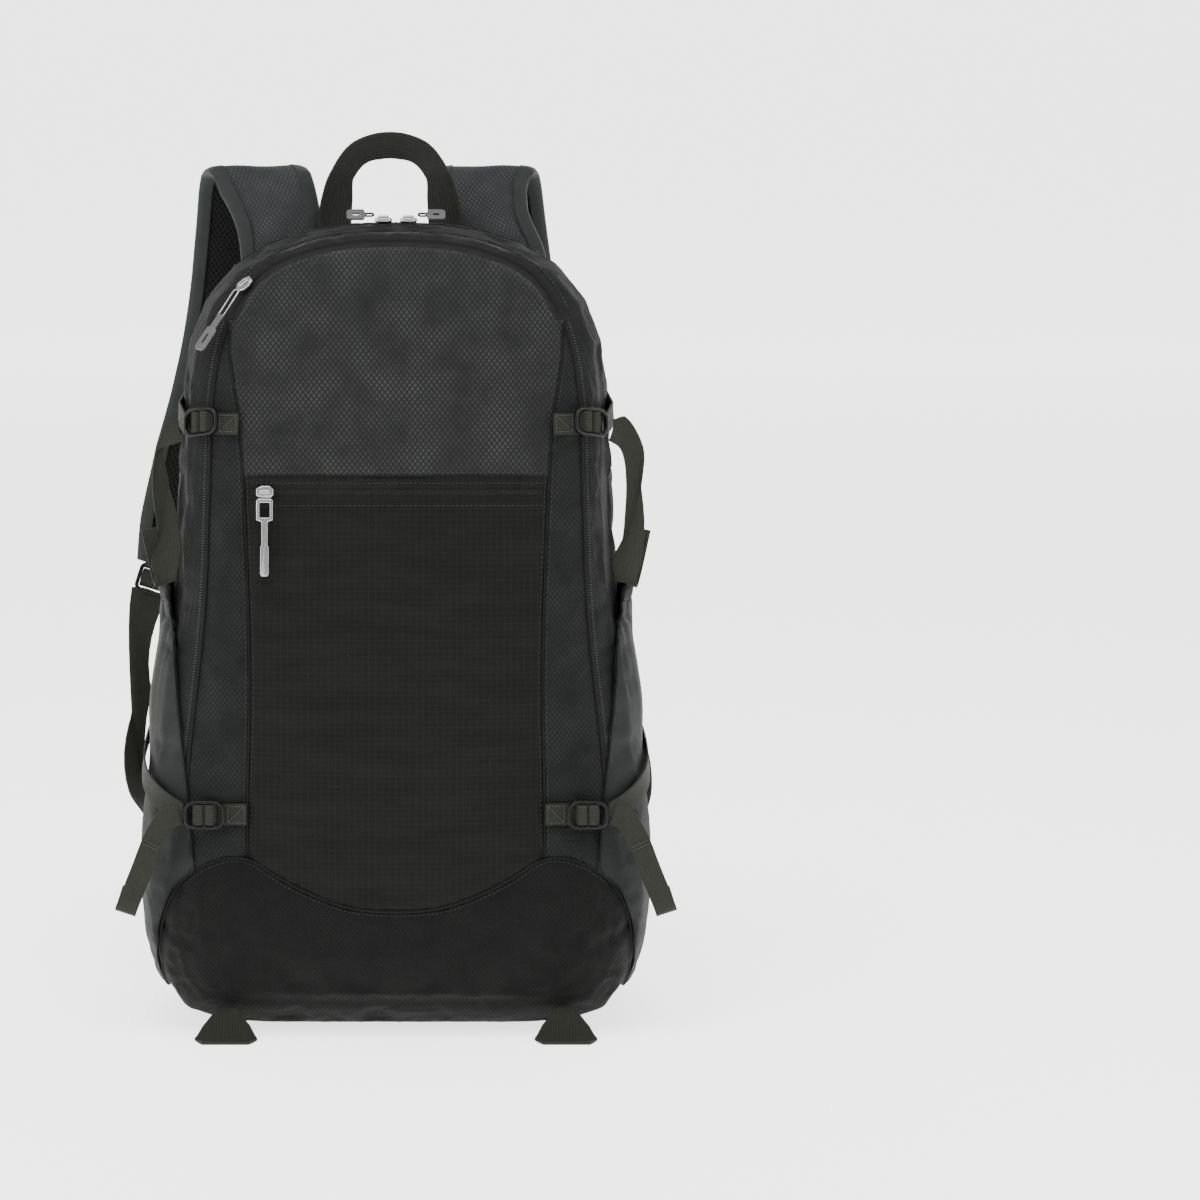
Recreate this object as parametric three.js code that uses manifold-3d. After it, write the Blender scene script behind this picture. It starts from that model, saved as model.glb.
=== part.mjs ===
// Packable backpack, packed full and standing on its base
// Millimetres: X to the right seen from the front, Y towards the wearer's side, Z up
// The origin is the middle of the flat base
import * as THREE from 'three';
import { mergeVertices } from 'three/addons/utils/BufferGeometryUtils.js';
import Module from 'manifold-3d';

const wasm = await Module();
wasm.setup();

// Driving dimensions of the bag
const bodyHeight = 510;
const bodyWidth = 320;
const bodyDepth = 168;
const frontRound = 46;
const backRound = 14;
const clothWall = 2;
const seamGap = 0.3;

// Panels, zips and pockets
const zipWidth = 9;
const pocketMouth = 8;
const pocketTop = 283;
const pocketBase = 34;

// Form tables: each row is a height as a share of bodyHeight
// half is a share of half the bodyWidth, front and back are shares of half the bodyDepth
const outlineRows = [
  { up: 0.0, half: 0.3 },
  { up: 0.0, half: 0.6 },
  { up: 0.016, half: 0.82 },
  { up: 0.05, half: 0.925 },
  { up: 0.11, half: 0.985 },
  { up: 0.19, half: 1.0 },
  { up: 0.34, half: 0.955 },
  { up: 0.53, half: 0.885 },
  { up: 0.68, half: 0.862 },
  { up: 0.8, half: 0.845 },
  { up: 0.87, half: 0.8 },
  { up: 0.925, half: 0.715 },
  { up: 0.965, half: 0.565 },
  { up: 0.992, half: 0.32 },
];
const depthRows = [
  { up: 0.0, front: -0.9, back: 0.84 },
  { up: 0.12, front: -1.0, back: 1.0 },
  { up: 0.3, front: -0.97, back: 1.0 },
  { up: 0.5, front: -0.88, back: 0.98 },
  { up: 0.75, front: -0.7, back: 0.98 },
  { up: 0.9, front: -0.5, back: 0.94 },
  { up: 1.0, front: -0.3, back: 0.86 },
];
// How far the front seam and the front zip lie in from the outline, in shares of frontRound
const seamRows = [
  { up: 0.0, inset: 0.5 },
  { up: 0.6, inset: 0.47 },
  { up: 0.9, inset: 0.42 },
  { up: 0.97, inset: 0.26 },
  { up: 1.0, inset: 0.2 },
];
// Dents pressed into the front face, bulges where depth is negative
// side is a share of half the bodyWidth, reach a share of bodyWidth, depth a share of bodyDepth
const dentRows = [
  { side: 0.66, up: 0.8, reach: 0.1, depth: 0.03 },
  { side: 0.63, up: 0.285, reach: 0.12, depth: 0.035 },
  { side: 0.62, up: 0.045, reach: 0.12, depth: 0.05 },
  { side: 0.2, up: 0.655, reach: 0.3, depth: 0.016 },
  { side: 0.0, up: 0.4, reach: 0.4, depth: -0.03 },
  { side: 0.0, up: 0.85, reach: 0.3, depth: -0.02 },
  { side: 0.82, up: 0.17, reach: 0.12, depth: -0.02 },
];
// Seams between the front's centre panels and the side strips, side as a share of half the bodyWidth
const centreSeamRows = [
  { up: 0.16, side: 0.58 },
  { up: 0.3, side: 0.58 },
  { up: 0.45, side: 0.57 },
  { up: 0.62, side: 0.585 },
  { up: 0.76, side: 0.61 },
  { up: 0.85, side: 0.65 },
  { up: 0.95, side: 0.66 },
];
// Upper edge of the bottom panel from the middle out and down each corner
const bottomSeamRows = [
  { side: 0.0, up: 0.165 },
  { side: 0.2, up: 0.171 },
  { side: 0.42, up: 0.2 },
  { side: 0.6, up: 0.232 },
  { side: 0.76, up: 0.22 },
  { side: 0.87, up: 0.188 },
  { side: 0.925, up: 0.14 },
  { side: 0.93, up: 0.09 },
  { side: 0.86, up: 0.0 },
];
const zipBandUp = 0.698;
const zipBandTall = 20;

// Smooth reading of a table column between its rows
function along(rows, key, column, at) {
  const last = rows.length - 1;
  let i = 0;
  while (i < last - 1 && at > rows[i + 1][key]) i += 1;
  const span = rows[i + 1][key] - rows[i][key];
  const s = THREE.MathUtils.clamp((at - rows[i][key]) / span, 0, 1);
  const slope = (a, b) => (rows[b][column] - rows[a][column]) / (rows[b][key] - rows[a][key]);
  const m0 = i > 0 ? slope(i - 1, i + 1) : slope(i, i + 1);
  const m1 = i < last - 1 ? slope(i, i + 2) : slope(i, i + 1);
  const h0 = (1 + 2 * s) * (1 - s) * (1 - s);
  const h1 = s * s * (3 - 2 * s);
  return h0 * rows[i][column] + h1 * rows[i + 1][column]
    + span * (s * (1 - s) * (1 - s) * m0 - s * s * (1 - s) * m1);
}

const frontAt = (z) => along(depthRows, 'up', 'front', z / bodyHeight) * bodyDepth / 2;
const backAt = (z) => along(depthRows, 'up', 'back', z / bodyHeight) * bodyDepth / 2;
const seamInset = (z) => along(seamRows, 'up', 'inset', z / bodyHeight) * frontRound;

// Outline of the bag seen from the front, as a closed curve in X and Z from the middle of the base
const rightSide = outlineRows.map((r) => new THREE.Vector3(r.half * bodyWidth / 2, 0, r.up * bodyHeight));
const leftSide = rightSide.slice().reverse().map((p) => new THREE.Vector3(-p.x, 0, p.z));
const outlineCurve = new THREE.CatmullRomCurve3([
  new THREE.Vector3(0, 0, 0), ...rightSide, new THREE.Vector3(0, 0, bodyHeight), ...leftSide,
], true, 'centripetal');
const halfStations = 27;

// Half of the outline is sampled and mirrored, so that both sides match exactly
function outlineStations() {
  const half = [];
  for (let i = 0; i <= halfStations; i += 1) {
    const at = outlineCurve.getPointAt(i / halfStations / 2);
    const tangent = outlineCurve.getTangentAt(i / halfStations / 2);
    half.push({ x: at.x, z: Math.max(at.z, 0), nx: -tangent.z, nz: tangent.x });
  }
  const ends = [half[0], half[halfStations]];
  ends.forEach((end) => Object.assign(end, { x: 0, nx: 0, nz: Math.sign(end.nz) }));
  const mirrored = half.slice(1, -1).reverse().map((p) => ({ x: -p.x, z: p.z, nx: -p.nx, nz: p.nz }));
  return [...half, ...mirrored];
}
const outline = outlineStations();

// Distance in from the outline of a point of the front view
function insetOf(x, z) {
  let best = Infinity;
  outline.forEach((a, i) => {
    const b = outline[(i + 1) % outline.length];
    const dx = b.x - a.x;
    const dz = b.z - a.z;
    const s = THREE.MathUtils.clamp(((x - a.x) * dx + (z - a.z) * dz) / (dx * dx + dz * dz), 0, 1);
    best = Math.min(best, Math.hypot(x - a.x - s * dx, z - a.z - s * dz));
  });
  return best;
}

// Depth of the dents at a point of the front face
function dentAt(x, z) {
  const edge = Math.min(insetOf(x, z) / frontRound, 1);
  const sum = dentRows.reduce((total, row) => {
    const reach = row.reach * bodyWidth;
    const far = Math.hypot(Math.abs(x) - row.side * bodyWidth / 2, z - row.up * bodyHeight) / reach;
    return total + row.depth * bodyDepth * Math.exp(-far * far);
  }, 0);
  return sum * edge;
}

// Front face of the bag: Y of the cloth's outer side at a point of the front view
function frontFace(x, z) {
  const inset = Math.min(insetOf(x, z), frontRound);
  const rise = 1 - inset / frontRound;
  return frontAt(z) + frontRound * (1 - Math.sqrt(1 - rise * rise)) + dentAt(x, z);
}

// Rings of the bag's skin from the middle of the front, round the gusset, to the middle of the back
const spineLow = 0.27 * bodyHeight;
const spineHigh = 0.7 * bodyHeight;
const facePulls = [1, 0.65, 0.4, 0.22];
const backPulls = [0.3, 1];
const roundTurns = [56, 28, 0];
const gussetShares = [0.5];
const backTurns = [0, 60];

function skinRings() {
  const pulled = (pull, face) => outline.map((p) => {
    const x = p.x * (1 - pull);
    const z = p.z + (THREE.MathUtils.clamp(p.z, spineLow, spineHigh) - p.z) * pull;
    return [x, face(x, z), z];
  });
  const turned = (degrees, radius, face) => outline.map((p) => {
    const inset = radius * (1 - Math.cos(THREE.MathUtils.degToRad(degrees)));
    const x = p.x + p.nx * inset;
    const z = p.z + p.nz * inset;
    return [x, face(x, z, degrees), z];
  });
  const frontEnd = (z) => frontAt(z) + frontRound;
  const backEnd = (z) => backAt(z) - backRound;
  const backFace = (x, z, degrees) => backEnd(z) + backRound * Math.sin(THREE.MathUtils.degToRad(degrees));
  return [
    ...facePulls.map((pull) => pulled(pull, frontFace)),
    ...roundTurns.map((turn) => turned(turn, frontRound, frontFace)),
    ...gussetShares.map((share) => turned(0, 0, (x, z) => frontEnd(z) + share * (backEnd(z) - frontEnd(z)))),
    ...backTurns.map((turn) => turned(turn, backRound, backFace)),
    ...backPulls.map((pull) => pulled(pull, (x, z) => backAt(z))),
  ];
}

// A closed mesh from a list of vertices and triangles, with doubled points joined and slivers dropped
function closedMesh(points, triangles) {
  const raw = new THREE.BufferGeometry();
  raw.setAttribute('position', new THREE.Float32BufferAttribute(points.flat(), 3));
  raw.setIndex(triangles.flat());
  const merged = mergeVertices(raw, 1e-3);
  const index = merged.index.array;
  const kept = [];
  for (let i = 0; i < index.length; i += 3) {
    const [a, b, c] = [index[i], index[i + 1], index[i + 2]];
    if (a !== b && b !== c && c !== a) kept.push(a, b, c);
  }
  merged.setIndex(kept);
  merged.computeVertexNormals();
  return merged;
}

// Skin through rings of equal length, which close on themselves
function skin(rings) {
  const count = rings[0].length;
  const triangles = [];
  for (let r = 0; r < rings.length - 1; r += 1) {
    for (let i = 0; i < count; i += 1) {
      const j = (i + 1) % count;
      const [a, b, c, d] = [r * count + i, r * count + j, (r + 1) * count + j, (r + 1) * count + i];
      triangles.push([a, d, c], [a, c, b]);
    }
  }
  return closedMesh(rings.flat(), triangles);
}

// Copy of a skin moved out along its normals, by a distance that may change from place to place
function grown(geometry, distance) {
  const copy = geometry.clone();
  const at = copy.attributes.position;
  const normal = copy.attributes.normal;
  for (let i = 0; i < at.count; i += 1) {
    const d = distance(at.getX(i), at.getY(i), at.getZ(i));
    const [x, y, z] = [at.getX(i), at.getY(i), at.getZ(i)];
    at.setXYZ(i, x + normal.getX(i) * d, y + normal.getY(i) * d, z + normal.getZ(i) * d);
  }
  return copy;
}

// Solids for cutting and joining
function solid(geometry) {
  const bare = geometry.clone();
  bare.deleteAttribute('normal');
  bare.deleteAttribute('uv');
  const merged = mergeVertices(bare, 1e-4);
  return new wasm.Manifold(new wasm.Mesh({
    numProp: 3,
    vertProperties: merged.attributes.position.array,
    triVerts: new Uint32Array(merged.index.array),
  }));
}

function geometryOf(manifold) {
  const mesh = manifold.getMesh();
  const geometry = new THREE.BufferGeometry();
  geometry.setAttribute('position', new THREE.Float32BufferAttribute(mesh.vertProperties, 3));
  geometry.setIndex([...mesh.triVerts]);
  geometry.computeVertexNormals();
  return geometry;
}

// Cutting prism with an outline in the front view, running along Y
function prism(points, from, to) {
  const shape = new THREE.Shape(points.map(([x, z]) => new THREE.Vector2(x, z)));
  const geometry = new THREE.ExtrudeGeometry(shape, { depth: to - from, bevelEnabled: false, steps: 1 });
  geometry.rotateX(Math.PI / 2);
  geometry.translate(0, to, 0);
  return solid(geometry);
}

function block(min, max) {
  const geometry = new THREE.BoxGeometry(max[0] - min[0], max[1] - min[1], max[2] - min[2]);
  geometry.translate((min[0] + max[0]) / 2, (min[1] + max[1]) / 2, (min[2] + max[2]) / 2);
  return solid(geometry);
}

// Group of named meshes
const backpack = new THREE.Group();

function piece(name, geometry, finish) {
  const mesh = new THREE.Mesh(geometry, new THREE.MeshStandardMaterial(finish));
  mesh.name = name;
  backpack.add(mesh);
  return mesh;
}

const diamondCloth = { color: 0x323435, roughness: 0.85, metalness: 0 };
const ripstopCloth = { color: 0x262826, roughness: 0.8, metalness: 0 };
const baseCloth = { color: 0x1e1e1c, roughness: 0.9, metalness: 0 };
const stretchCloth = { color: 0x2c2e2d, roughness: 0.85, metalness: 0 };
const webbing = { color: 0x282a24, roughness: 0.9, metalness: 0 };
const padCloth = { color: 0x37393c, roughness: 0.9, metalness: 0 };
const zipTape = { color: 0x1b1c1c, roughness: 0.6, metalness: 0 };
const blackPlastic = { color: 0x1c1d1d, roughness: 0.45, metalness: 0 };
const greyPlastic = { color: 0x777978, roughness: 0.5, metalness: 0 };
const silverMetal = { color: 0xb8b9ba, roughness: 0.3, metalness: 1 };

// Sewn panels, cut from one hollow skin along the seams
const far = 2 * bodyHeight;
const cut = seamGap / 2;
const outerSkin = skin(skinRings());
const hollow = solid(outerSkin).subtract(solid(grown(outerSkin, () => -clothWall)));

const zipBack = 0.34;
const zipY = zipBack * bodyDepth / 2;
const zipEndUp = 0.56;
const cornerZipUp = 0.885;
const zipEndZ = zipEndUp * bodyHeight;
const cornerZipZ = cornerZipUp * bodyHeight;
const zipReach = zipWidth / 2 + cut;

const seamOutline = (shift) => outline.map((p) => {
  const inset = seamInset(p.z) + shift;
  return [p.x + p.nx * inset, p.z + p.nz * inset];
});

function centreOutline(shift) {
  const edge = centreSeamRows.map((r) => [r.side * bodyWidth / 2 + shift, r.up * bodyHeight]);
  edge.unshift([edge[0][0], -far]);
  edge.push([edge[edge.length - 1][0], far]);
  return [...edge, ...edge.slice().reverse().map(([x, z]) => [-x, z])];
}

function bottomOutline(shift) {
  const edge = bottomSeamRows.map((r, i) => {
    const beside = bottomSeamRows[Math.min(i + 1, bottomSeamRows.length - 1)];
    const before = bottomSeamRows[Math.max(i - 1, 0)];
    const edgeWay = new THREE.Vector2(
      (beside.side - before.side) * bodyWidth / 2,
      (beside.up - before.up) * bodyHeight,
    ).normalize();
    const x = r.side * bodyWidth / 2 - edgeWay.y * shift;
    return [i === 0 ? 0 : x, r.up * bodyHeight + edgeWay.x * shift];
  });
  edge.push([edge[edge.length - 1][0], -far]);
  return [...edge, ...edge.slice(1).reverse().map(([x, z]) => [-x, z])];
}

const bottomCut = prism(bottomOutline(cut), -far, far);
const frontHalf = hollow.intersect(block([-far, -far, -far], [far, zipY - cut, far])).subtract(bottomCut);
const rearHalf = hollow.intersect(block([-far, zipY + cut, -far], [far, far, far])).subtract(bottomCut);
const zipSlot = block([-far, zipY - zipReach, zipEndZ - cut], [far, zipY + zipReach, far]);
const zipSlab = block([-far, zipY - zipWidth / 2, zipEndZ], [far, zipY + zipWidth / 2, far]);

const insideSeam = prism(seamOutline(cut), -far, far);
const seamPlug = prism(seamOutline(-cut), -far, far);
const cornerSlab = block([-far, -far, cornerZipZ], [far, zipY - zipReach, far]);
const cornerSlot = block([-far, -far, cornerZipZ - cut], [far, far, far]);
const zipOuterEdge = prism(seamOutline(-zipWidth / 2), -far, far);
const zipInnerEdge = prism(seamOutline(zipWidth / 2), -far, far);
const zipOuterSlot = prism(seamOutline(-zipReach), -far, far);
const zipInnerSlot = prism(seamOutline(zipReach), -far, far);
const cornerZipSlot = zipOuterSlot.subtract(zipInnerSlot).intersect(cornerSlot);

const face = frontHalf.intersect(insideSeam).subtract(cornerZipSlot);
const centre = face.intersect(prism(centreOutline(-cut), -far, far));
const strips = face.subtract(prism(centreOutline(cut), -far, far));
const bandTop = zipBandUp * bodyHeight;
const bandBase = bandTop - zipBandTall;
const slice = (from, to) => block([-far, -far, from], [far, far, to]);

const upperPart = centre.intersect(slice(bandTop + cut, far));
const bandPart = centre.intersect(slice(bandBase + cut, bandTop - cut));
piece('upper_panel', geometryOf(upperPart), diamondCloth);
piece('pocket_zip', geometryOf(bandPart), zipTape);
piece('pocket_panel', geometryOf(centre.intersect(slice(-far, bandBase - cut))), ripstopCloth);
const leftPart = strips.intersect(block([-far, -far, -far], [0, far, far]));
const rightPart = strips.intersect(block([0, -far, -far], [far, far, far]));
piece('side_strip_left', geometryOf(leftPart), diamondCloth);
piece('side_strip_right', geometryOf(rightPart), diamondCloth);
piece('front_zip', geometryOf(
  frontHalf.intersect(zipOuterEdge.subtract(zipInnerEdge)).intersect(cornerSlab),
), zipTape);
piece('front_gusset', geometryOf(
  frontHalf.subtract(seamPlug).subtract(cornerZipSlot).subtract(zipSlot),
), diamondCloth);
piece('main_zip', geometryOf(hollow.intersect(zipSlab)), zipTape);

const backSeamShare = 0.8;
const backEdge = (shift) => outline.map((p) => {
  const inset = backSeamShare * backRound + shift;
  return [p.x + p.nx * inset, p.z + p.nz * inset];
});
piece('rear_gusset', geometryOf(
  rearHalf.subtract(prism(backEdge(-cut), zipY, far)).subtract(zipSlot),
), diamondCloth);
piece('back_panel', geometryOf(rearHalf.intersect(prism(backEdge(cut), zipY, far))), padCloth);
piece('bottom_panel', geometryOf(
  hollow.intersect(prism(bottomOutline(-cut), -far, far)),
), baseCloth);

// Side pockets lie on the side walls, sewn along both sides and open at the top
const pocketRows = [
  { up: 0.047, side: 0.9 },
  { up: 0.09, side: 0.94 },
  { up: 0.14, side: 0.935 },
  { up: 0.19, side: 0.88 },
  { up: 0.215, side: 0.79 },
  { up: 0.3, side: 0.81 },
  { up: 0.41, side: 0.845 },
  { up: 0.58, side: 0.87 },
];
const pocketSeamBack = 2;

// How far a pocket stands off the side wall at a point
function pocketGap(y, z) {
  const from = frontAt(z) + frontRound / 4;
  const to = backAt(z) - backRound;
  const across = THREE.MathUtils.clamp((y - from) / (to - from), 0, 1);
  const rise = THREE.MathUtils.smoothstep(z, pocketBase, pocketTop);
  return seamGap + pocketMouth * Math.sin(Math.PI * across) * rise;
}

const pocketSkin = solid(grown(outerSkin, (x, y, z) => pocketGap(y, z) + clothWall))
  .subtract(solid(grown(outerSkin, (x, y, z) => pocketGap(y, z))));
const pocketEdge = pocketRows.map((r) => [r.side * bodyWidth / 2, r.up * bodyHeight]);
const pocketPrism = prism([
  ...pocketEdge, [far, pocketEdge[pocketEdge.length - 1][1]], [far, pocketEdge[0][1]],
], -far, backAt(pocketTop) - backRound - pocketSeamBack);
const pocketRight = pocketSkin.intersect(pocketPrism).intersect(slice(-far, pocketTop));
piece('side_pocket_right', geometryOf(pocketRight), stretchCloth);
piece('side_pocket_left', geometryOf(pocketRight.mirror([1, 0, 0])), stretchCloth);

// Flat straps: a section carried along stations, each with its place, its way across and its way out
// A section is a list of corners, across as a share of the width and out as a share of the thickness
const flatSection = [[-0.5, 0], [0.5, 0], [0.5, 1], [-0.5, 1]];
const paddedSection = [
  [-0.5, 0.3], [-0.44, 0], [0.44, 0], [0.5, 0.3],
  [0.5, 0.7], [0.44, 1], [-0.44, 1], [-0.5, 0.7],
];

function strap(stations, section, thickness) {
  const rings = stations.map((station) => section.map(([across, out]) => {
    const corner = station.at.clone().addScaledVector(station.across, across * station.width);
    return corner.addScaledVector(station.out, out * thickness).toArray();
  }));
  const count = section.length;
  const triangles = [];
  for (let r = 0; r < rings.length - 1; r += 1) {
    for (let i = 0; i < count; i += 1) {
      const j = (i + 1) % count;
      const [a, b, c, d] = [r * count + i, r * count + j, (r + 1) * count + j, (r + 1) * count + i];
      triangles.push([a, b, c], [a, c, d]);
    }
  }
  const end = (rings.length - 1) * count;
  for (let i = 1; i < count - 1; i += 1) {
    triangles.push([0, i + 1, i], [end, end + i, end + i + 1]);
  }
  return facingOut(closedMesh(rings.flat(), triangles));
}

// Turns a closed mesh right side out
function facingOut(geometry) {
  const at = geometry.attributes.position;
  const index = geometry.index.array;
  const [a, b, c] = [new THREE.Vector3(), new THREE.Vector3(), new THREE.Vector3()];
  let volume = 0;
  for (let i = 0; i < index.length; i += 3) {
    a.fromBufferAttribute(at, index[i]);
    b.fromBufferAttribute(at, index[i + 1]);
    c.fromBufferAttribute(at, index[i + 2]);
    volume += a.dot(b.cross(c));
  }
  if (volume < 0) geometry.setIndex([...index].reverse());
  geometry.computeVertexNormals();
  return geometry;
}

// Stations along a path: across is squared to the path, and out follows from both
function stationsAlong(points, acrosses, widths) {
  return points.map((at, i) => {
    const tangent = points[Math.min(i + 1, points.length - 1)].clone()
      .sub(points[Math.max(i - 1, 0)]).normalize();
    const across = acrosses[i].clone().addScaledVector(tangent, -acrosses[i].dot(tangent)).normalize();
    return { at, across, out: tangent.clone().cross(across), width: widths[i] };
  });
}

// Stations of a strap that lies on the bag, from places with their way out
function stationsOn(places, width, lift) {
  return places.map((place, i) => {
    const tangent = places[Math.min(i + 1, places.length - 1)].at.clone()
      .sub(places[Math.max(i - 1, 0)].at).normalize();
    const across = place.across ?? tangent.clone().cross(place.out).normalize();
    return { at: place.at.clone().addScaledVector(place.out, lift), across, out: place.out, width };
  });
}

// Place on the front of the skin itself, with its way out
const skinMesh = new THREE.Mesh(outerSkin, new THREE.MeshBasicMaterial());
const sight = new THREE.Raycaster();

function frontPlace(x, z) {
  const step = 1;
  sight.set(new THREE.Vector3(x, -bodyDepth, z), new THREE.Vector3(0, 1, 0));
  const slopeX = (frontFace(x + step, z) - frontFace(x - step, z)) / (2 * step);
  const slopeZ = (frontFace(x, z + step) - frontFace(x, z - step)) / (2 * step);
  return {
    at: sight.intersectObject(skinMesh)[0].point,
    out: new THREE.Vector3(slopeX, -1, slopeZ).normalize(),
  };
}

// Half width of the outline at a height
function halfWidthAt(z) {
  for (let i = 1; i < halfStations; i += 1) {
    const [a, b] = [outline[i], outline[i + 1]];
    if (z >= a.z && z <= b.z && b.z > a.z) return a.x + (b.x - a.x) * (z - a.z) / (b.z - a.z);
  }
  return 0;
}

// How fast the outline widens with height
function flareAt(z) {
  const step = 4;
  return (halfWidthAt(z + step) - halfWidthAt(z - step)) / (2 * step);
}

// Place on the side wall: reach is the distance behind the front rounding
function sidePlace(side, z, reach) {
  return {
    at: new THREE.Vector3(side * halfWidthAt(z), frontAt(z) + frontRound + reach, z),
    out: new THREE.Vector3(side, 0, -flareAt(z)).normalize(),
  };
}

// Shoulder straps: sewn flat on the back panel, folded over behind the top, down to a buckle
// side is a share of half the bodyWidth, up of bodyHeight, behind of bodyDepth past the back panel
// width is a share of strapWidth
const strapWidth = 62;
const strapPad = 9;
const strapLean = 22;
const strapSplay = 24;
// splay is the left strap's way out in shares of strapSplay, lean the right one's way in of strapLean
const strapRows = [
  { side: 0.475, up: 0.85, behind: 0.0, width: 0.72, splay: 0, lean: 0 },
  { side: 0.475, up: 0.9, behind: 0.0, width: 0.75, splay: 0, lean: 0 },
  { side: 0.475, up: 0.945, behind: 0.005, width: 0.78, splay: 0, lean: 0.1 },
  { side: 0.475, up: 1.0, behind: 0.075, width: 0.86, splay: 0.05, lean: 0.7 },
  { side: 0.49, up: 1.05, behind: 0.16, width: 0.96, splay: 0.3, lean: 1.0 },
  { side: 0.51, up: 1.07, behind: 0.24, width: 1.0, splay: 0.45, lean: 1.0 },
  { side: 0.53, up: 1.052, behind: 0.335, width: 1.0, splay: 0.55, lean: 0.95 },
  { side: 0.55, up: 0.98, behind: 0.4, width: 1.0, splay: 0.6, lean: 0.85 },
  { side: 0.58, up: 0.88, behind: 0.42, width: 1.0, splay: 0.65, lean: 0.7 },
  { side: 0.63, up: 0.78, behind: 0.41, width: 0.98, splay: 0.75, lean: 0.5 },
  { side: 0.71, up: 0.68, behind: 0.38, width: 0.9, splay: 0.9, lean: 0.35 },
  { side: 0.8, up: 0.59, behind: 0.335, width: 0.68, splay: 1, lean: 0.2 },
  { side: 0.85, up: 0.54, behind: 0.3, width: 0.48, splay: 1, lean: 0.15 },
];
const seatGap = 0.7;

function shoulderStrapPoints(side) {
  return strapRows.map((r) => {
    const shift = side < 0 ? r.splay * strapSplay : -r.lean * strapLean;
    const x = side * (r.side * bodyWidth / 2 + shift);
    const y = backAt(r.up * bodyHeight) + seatGap + r.behind * bodyDepth;
    return new THREE.Vector3(x, y, r.up * bodyHeight);
  });
}

const alongX = new THREE.Vector3(1, 0, 0);
const strapEnds = {};
[['left', -1], ['right', 1]].forEach(([name, side]) => {
  const points = shoulderStrapPoints(side);
  const widths = strapRows.map((r) => r.width * strapWidth);
  const stations = stationsAlong(points, points.map(() => alongX), widths);
  piece(`shoulder_strap_${name}`, strap(stations, paddedSection, strapPad), padCloth);
  const down = points[points.length - 1].clone().sub(points[points.length - 2]).normalize();
  strapEnds[name] = { ...stations[stations.length - 1], down };
});

// Ladder-lock buckle: a plate with two slots, lying in X and Y, its first slot towards -Y
// bevel and slotHalf are shares of its width, slotMiddle and slotTall of its length
const ladderThick = 3.2;
const ladderBevel = 0.12;
const slotHalf = 0.36;
const slotMiddle = 0.21;
const slotTall = 0.24;

function ladderBuckle(width, long) {
  const plate = new THREE.Shape();
  const bevel = ladderBevel * width;
  const [w, h] = [width / 2, long / 2];
  plate.moveTo(-w + bevel, -h).lineTo(w - bevel, -h).lineTo(w, -h + bevel).lineTo(w, h - bevel);
  plate.lineTo(w - bevel, h).lineTo(-w + bevel, h).lineTo(-w, h - bevel).lineTo(-w, -h + bevel);
  plate.closePath();
  [-1, 1].forEach((row) => {
    const slot = new THREE.Path();
    const middle = row * slotMiddle * long;
    const [sw, sh] = [slotHalf * width, slotTall * long / 2];
    slot.moveTo(-sw, middle - sh).lineTo(-sw, middle + sh).lineTo(sw, middle + sh).lineTo(sw, middle - sh);
    slot.closePath();
    plate.holes.push(slot);
  });
  return new THREE.ExtrudeGeometry(plate, { depth: ladderThick, bevelEnabled: false });
}

// Puts a flat piece in place: its Y along the way given, its Z along the way out
function placed(mesh, at, along, out) {
  const y = along.clone().normalize();
  const z = out.clone().addScaledVector(y, -out.dot(y)).normalize();
  const x = y.clone().cross(z);
  mesh.quaternion.setFromRotationMatrix(new THREE.Matrix4().makeBasis(x, y, z));
  mesh.position.copy(at);
  return mesh;
}

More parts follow.
